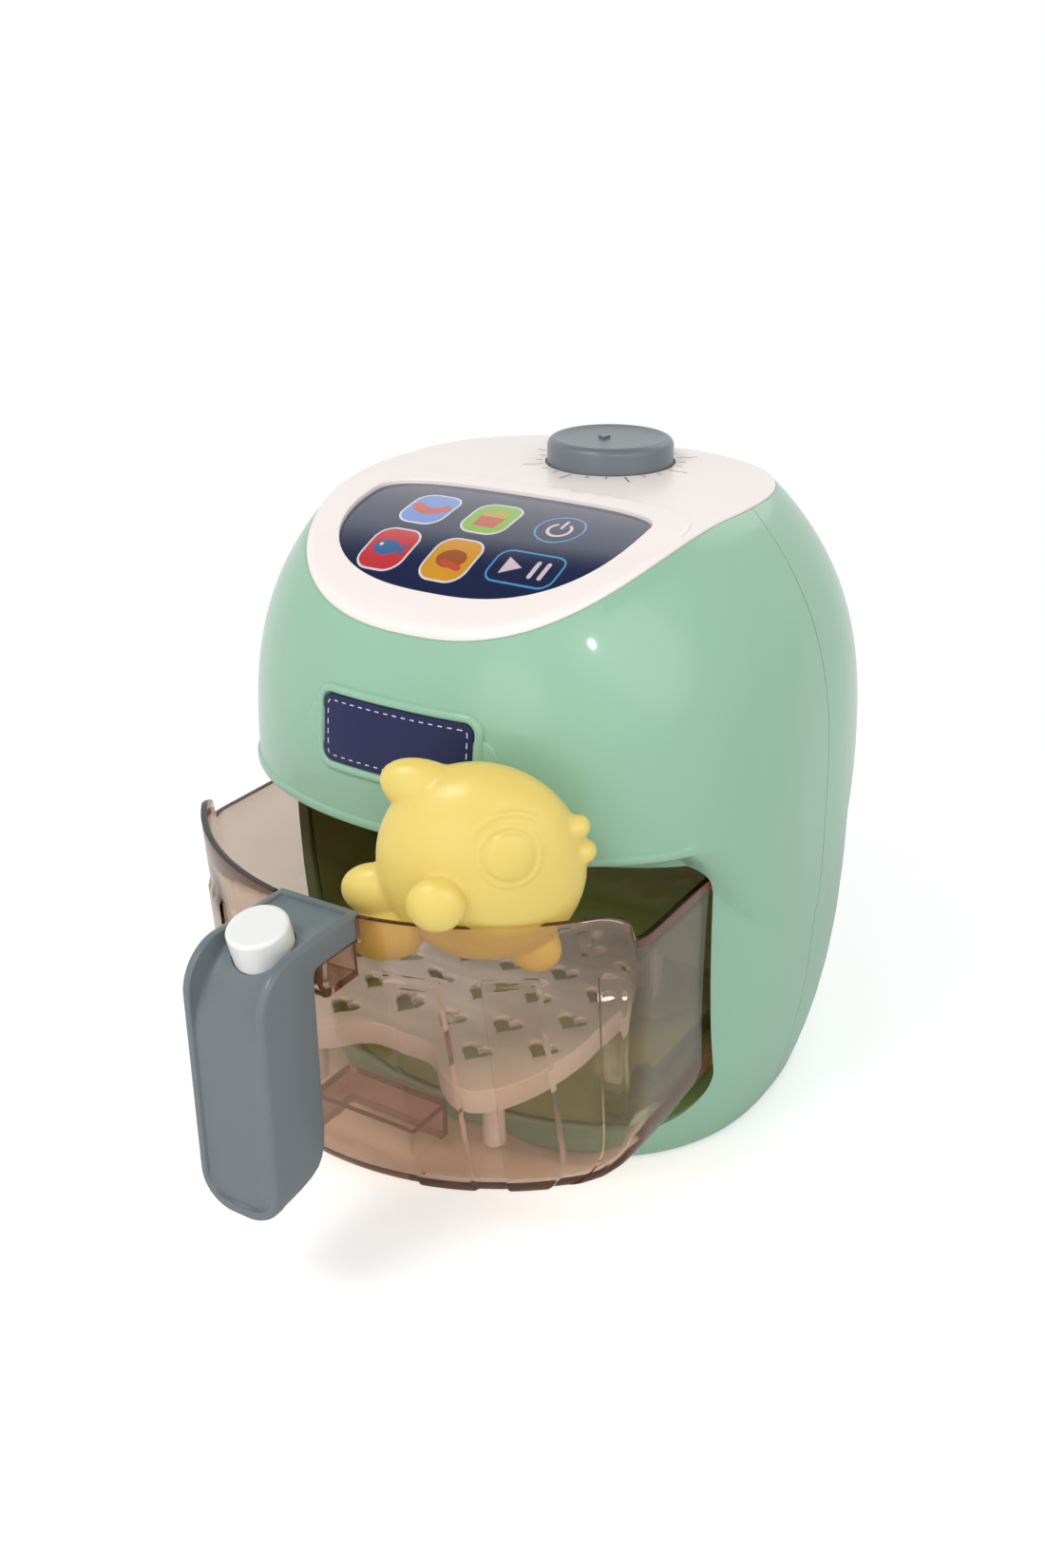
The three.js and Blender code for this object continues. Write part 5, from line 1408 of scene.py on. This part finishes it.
NEAR_FLOOR = 0.13
FAR_FLOOR = 0.36
FLOOR_LIFT = 0.42
CLEAR_LIFT = 0.05
CEILING = (0.66, 0.78)
CEILING_LEVEL = 0.1
SOFT_LEVEL = 0.5


def seen_directly(tree):
    """1 for rays from the camera and for what it sees in gloss or through clear plastic, else 0."""
    path = add_node(tree, "LightPath").node.outputs
    found = path["Is Camera Ray"]
    for kind in ("Is Transmission Ray", "Is Glossy Ray"):
        found = add_node(tree, "Math", {0: found, 1: path[kind]}, operation="MAXIMUM")
    return found


def floor_look():
    """The floor keeps its shadow near the object and turns into the white background further out."""
    material, tree, shader = new_material("floor_pale")
    feed(tree, shader, {"Base Color": (0.86, 0.86, 0.86, 1), "Roughness": 0.9, "Specular IOR Level": 0.1})
    place = add_node(tree, "TexCoord", output="Object")
    reach = add_node(tree, "VectorMath", {0: place}, "Value", operation="LENGTH")
    far = faded(tree, reach, NEAR_FLOOR, FAR_FLOOR)
    seen = add_node(tree, "Math", {0: far, 1: seen_directly(tree)}, operation="MULTIPLY")
    path = add_node(tree, "LightPath").node.outputs
    kinds = {0: path["Is Transmission Ray"], 1: CLEAR_LIFT, 2: path["Is Camera Ray"]}
    through = add_node(tree, "Math", kinds, operation="MULTIPLY_ADD")
    near = add_node(tree, "Math", {0: through, 1: FLOOR_LIFT}, operation="MULTIPLY")
    lift = add_node(tree, "Emission", {"Strength": near})
    total = add_node(tree, "AddShader", {0: shader.outputs[0], 1: lift})
    surface = mixed(tree, seen, total, add_node(tree, "Emission", {"Strength": 1.0}))
    feed(tree, tree.nodes["Material Output"], {"Surface": surface})
    return material


floor_mesh = bpy.data.meshes.new("floor")
with editing(floor_mesh) as work:
    bmesh.ops.create_circle(work, cap_ends=True, segments=96, radius=6)
floor = add_object("floor", floor_mesh)
floor.location.z = -0.0002
floor_mesh.materials.append(floor_look())


def studio_light():
    """White behind the object, a darker ceiling in its reflections and soft light all round."""
    world = bpy.data.worlds.new("studio")
    scene.world = world
    world.use_nodes = True
    tree = world.node_tree
    place = add_node(tree, "TexCoord", output="Generated")
    up = add_node(tree, "SeparateXYZ", {0: place}, "Z")
    ceiling = faded(tree, up, *CEILING, 1.0, CEILING_LEVEL)
    path = add_node(tree, "LightPath").node.outputs
    level = SOFT_LEVEL
    for kind, value in (("Is Glossy Ray", ceiling), ("Is Transmission Ray", 1.0), ("Is Camera Ray", 1.0)):
        level = add_node(tree, "Mix", {"Factor": path[kind], "A": level, "B": value}, "Result")
    feed(tree, tree.nodes["Background"], {"Color": (1, 1, 1, 1), "Strength": level})


def aimed(name, data, place, target):
    """An object at a place that looks at a target, both in metres."""
    thing = add_object(name, data)
    thing.location = place
    thing.rotation_euler = (Vector(target) - Vector(place)).to_track_quat("-Z", "Y").to_euler()
    return thing


def lamp(name, place, size, power, target=(0, 0, 0.09), depth=None):
    """A round lamp, or a rectangular one where it has a depth."""
    light = bpy.data.lights.new(name, "AREA")
    light.shape = "RECTANGLE" if depth else "DISK"
    light.size = size
    if depth:
        light.size_y = depth
    light.energy = power
    return aimed(name, light, place, target)


studio_light()
lamp("key", (-0.25, -0.85, 1.1), 0.45, 5.8)
lamp("spot", (0.733, -0.825, 0.789), 0.09, 1.2)
lamp("fill", (0.95, -0.35, 0.6), 0.8, 2.2)
lamp("rim", (0.2, 0.9, 0.9), 0.8, 1.6)
lamp("low", (0.05, -1.2, 0.22), 0.6, 1.2, (0, 0, 0.03))
bay_light = lamp("bay", (0, -0.035, 0.036), 0.11, 0.05, (0, -0.031, 0), 0.03)
bay_light.visible_glossy = False
bay_light.visible_transmission = False

# Camera

CAMERA_PLACE = (0.2320, -0.3889, 0.2934)
CAMERA_TARGET = (0.0, 0.0, 0.1)
CAMERA_LENS = 37.25
CAMERA_SHIFT = (-0.0274, -0.0269)

camera_data = bpy.data.cameras.new("camera")
camera_data.sensor_fit = "VERTICAL"
camera_data.sensor_height = 36
camera_data.sensor_width = 24
camera_data.lens = CAMERA_LENS
camera_data.shift_x, camera_data.shift_y = CAMERA_SHIFT
camera_data.clip_start = 0.01
scene.camera = aimed("camera", camera_data, CAMERA_PLACE, CAMERA_TARGET)
scene.view_settings.view_transform = "Standard"

bpy.context.view_layer.update()
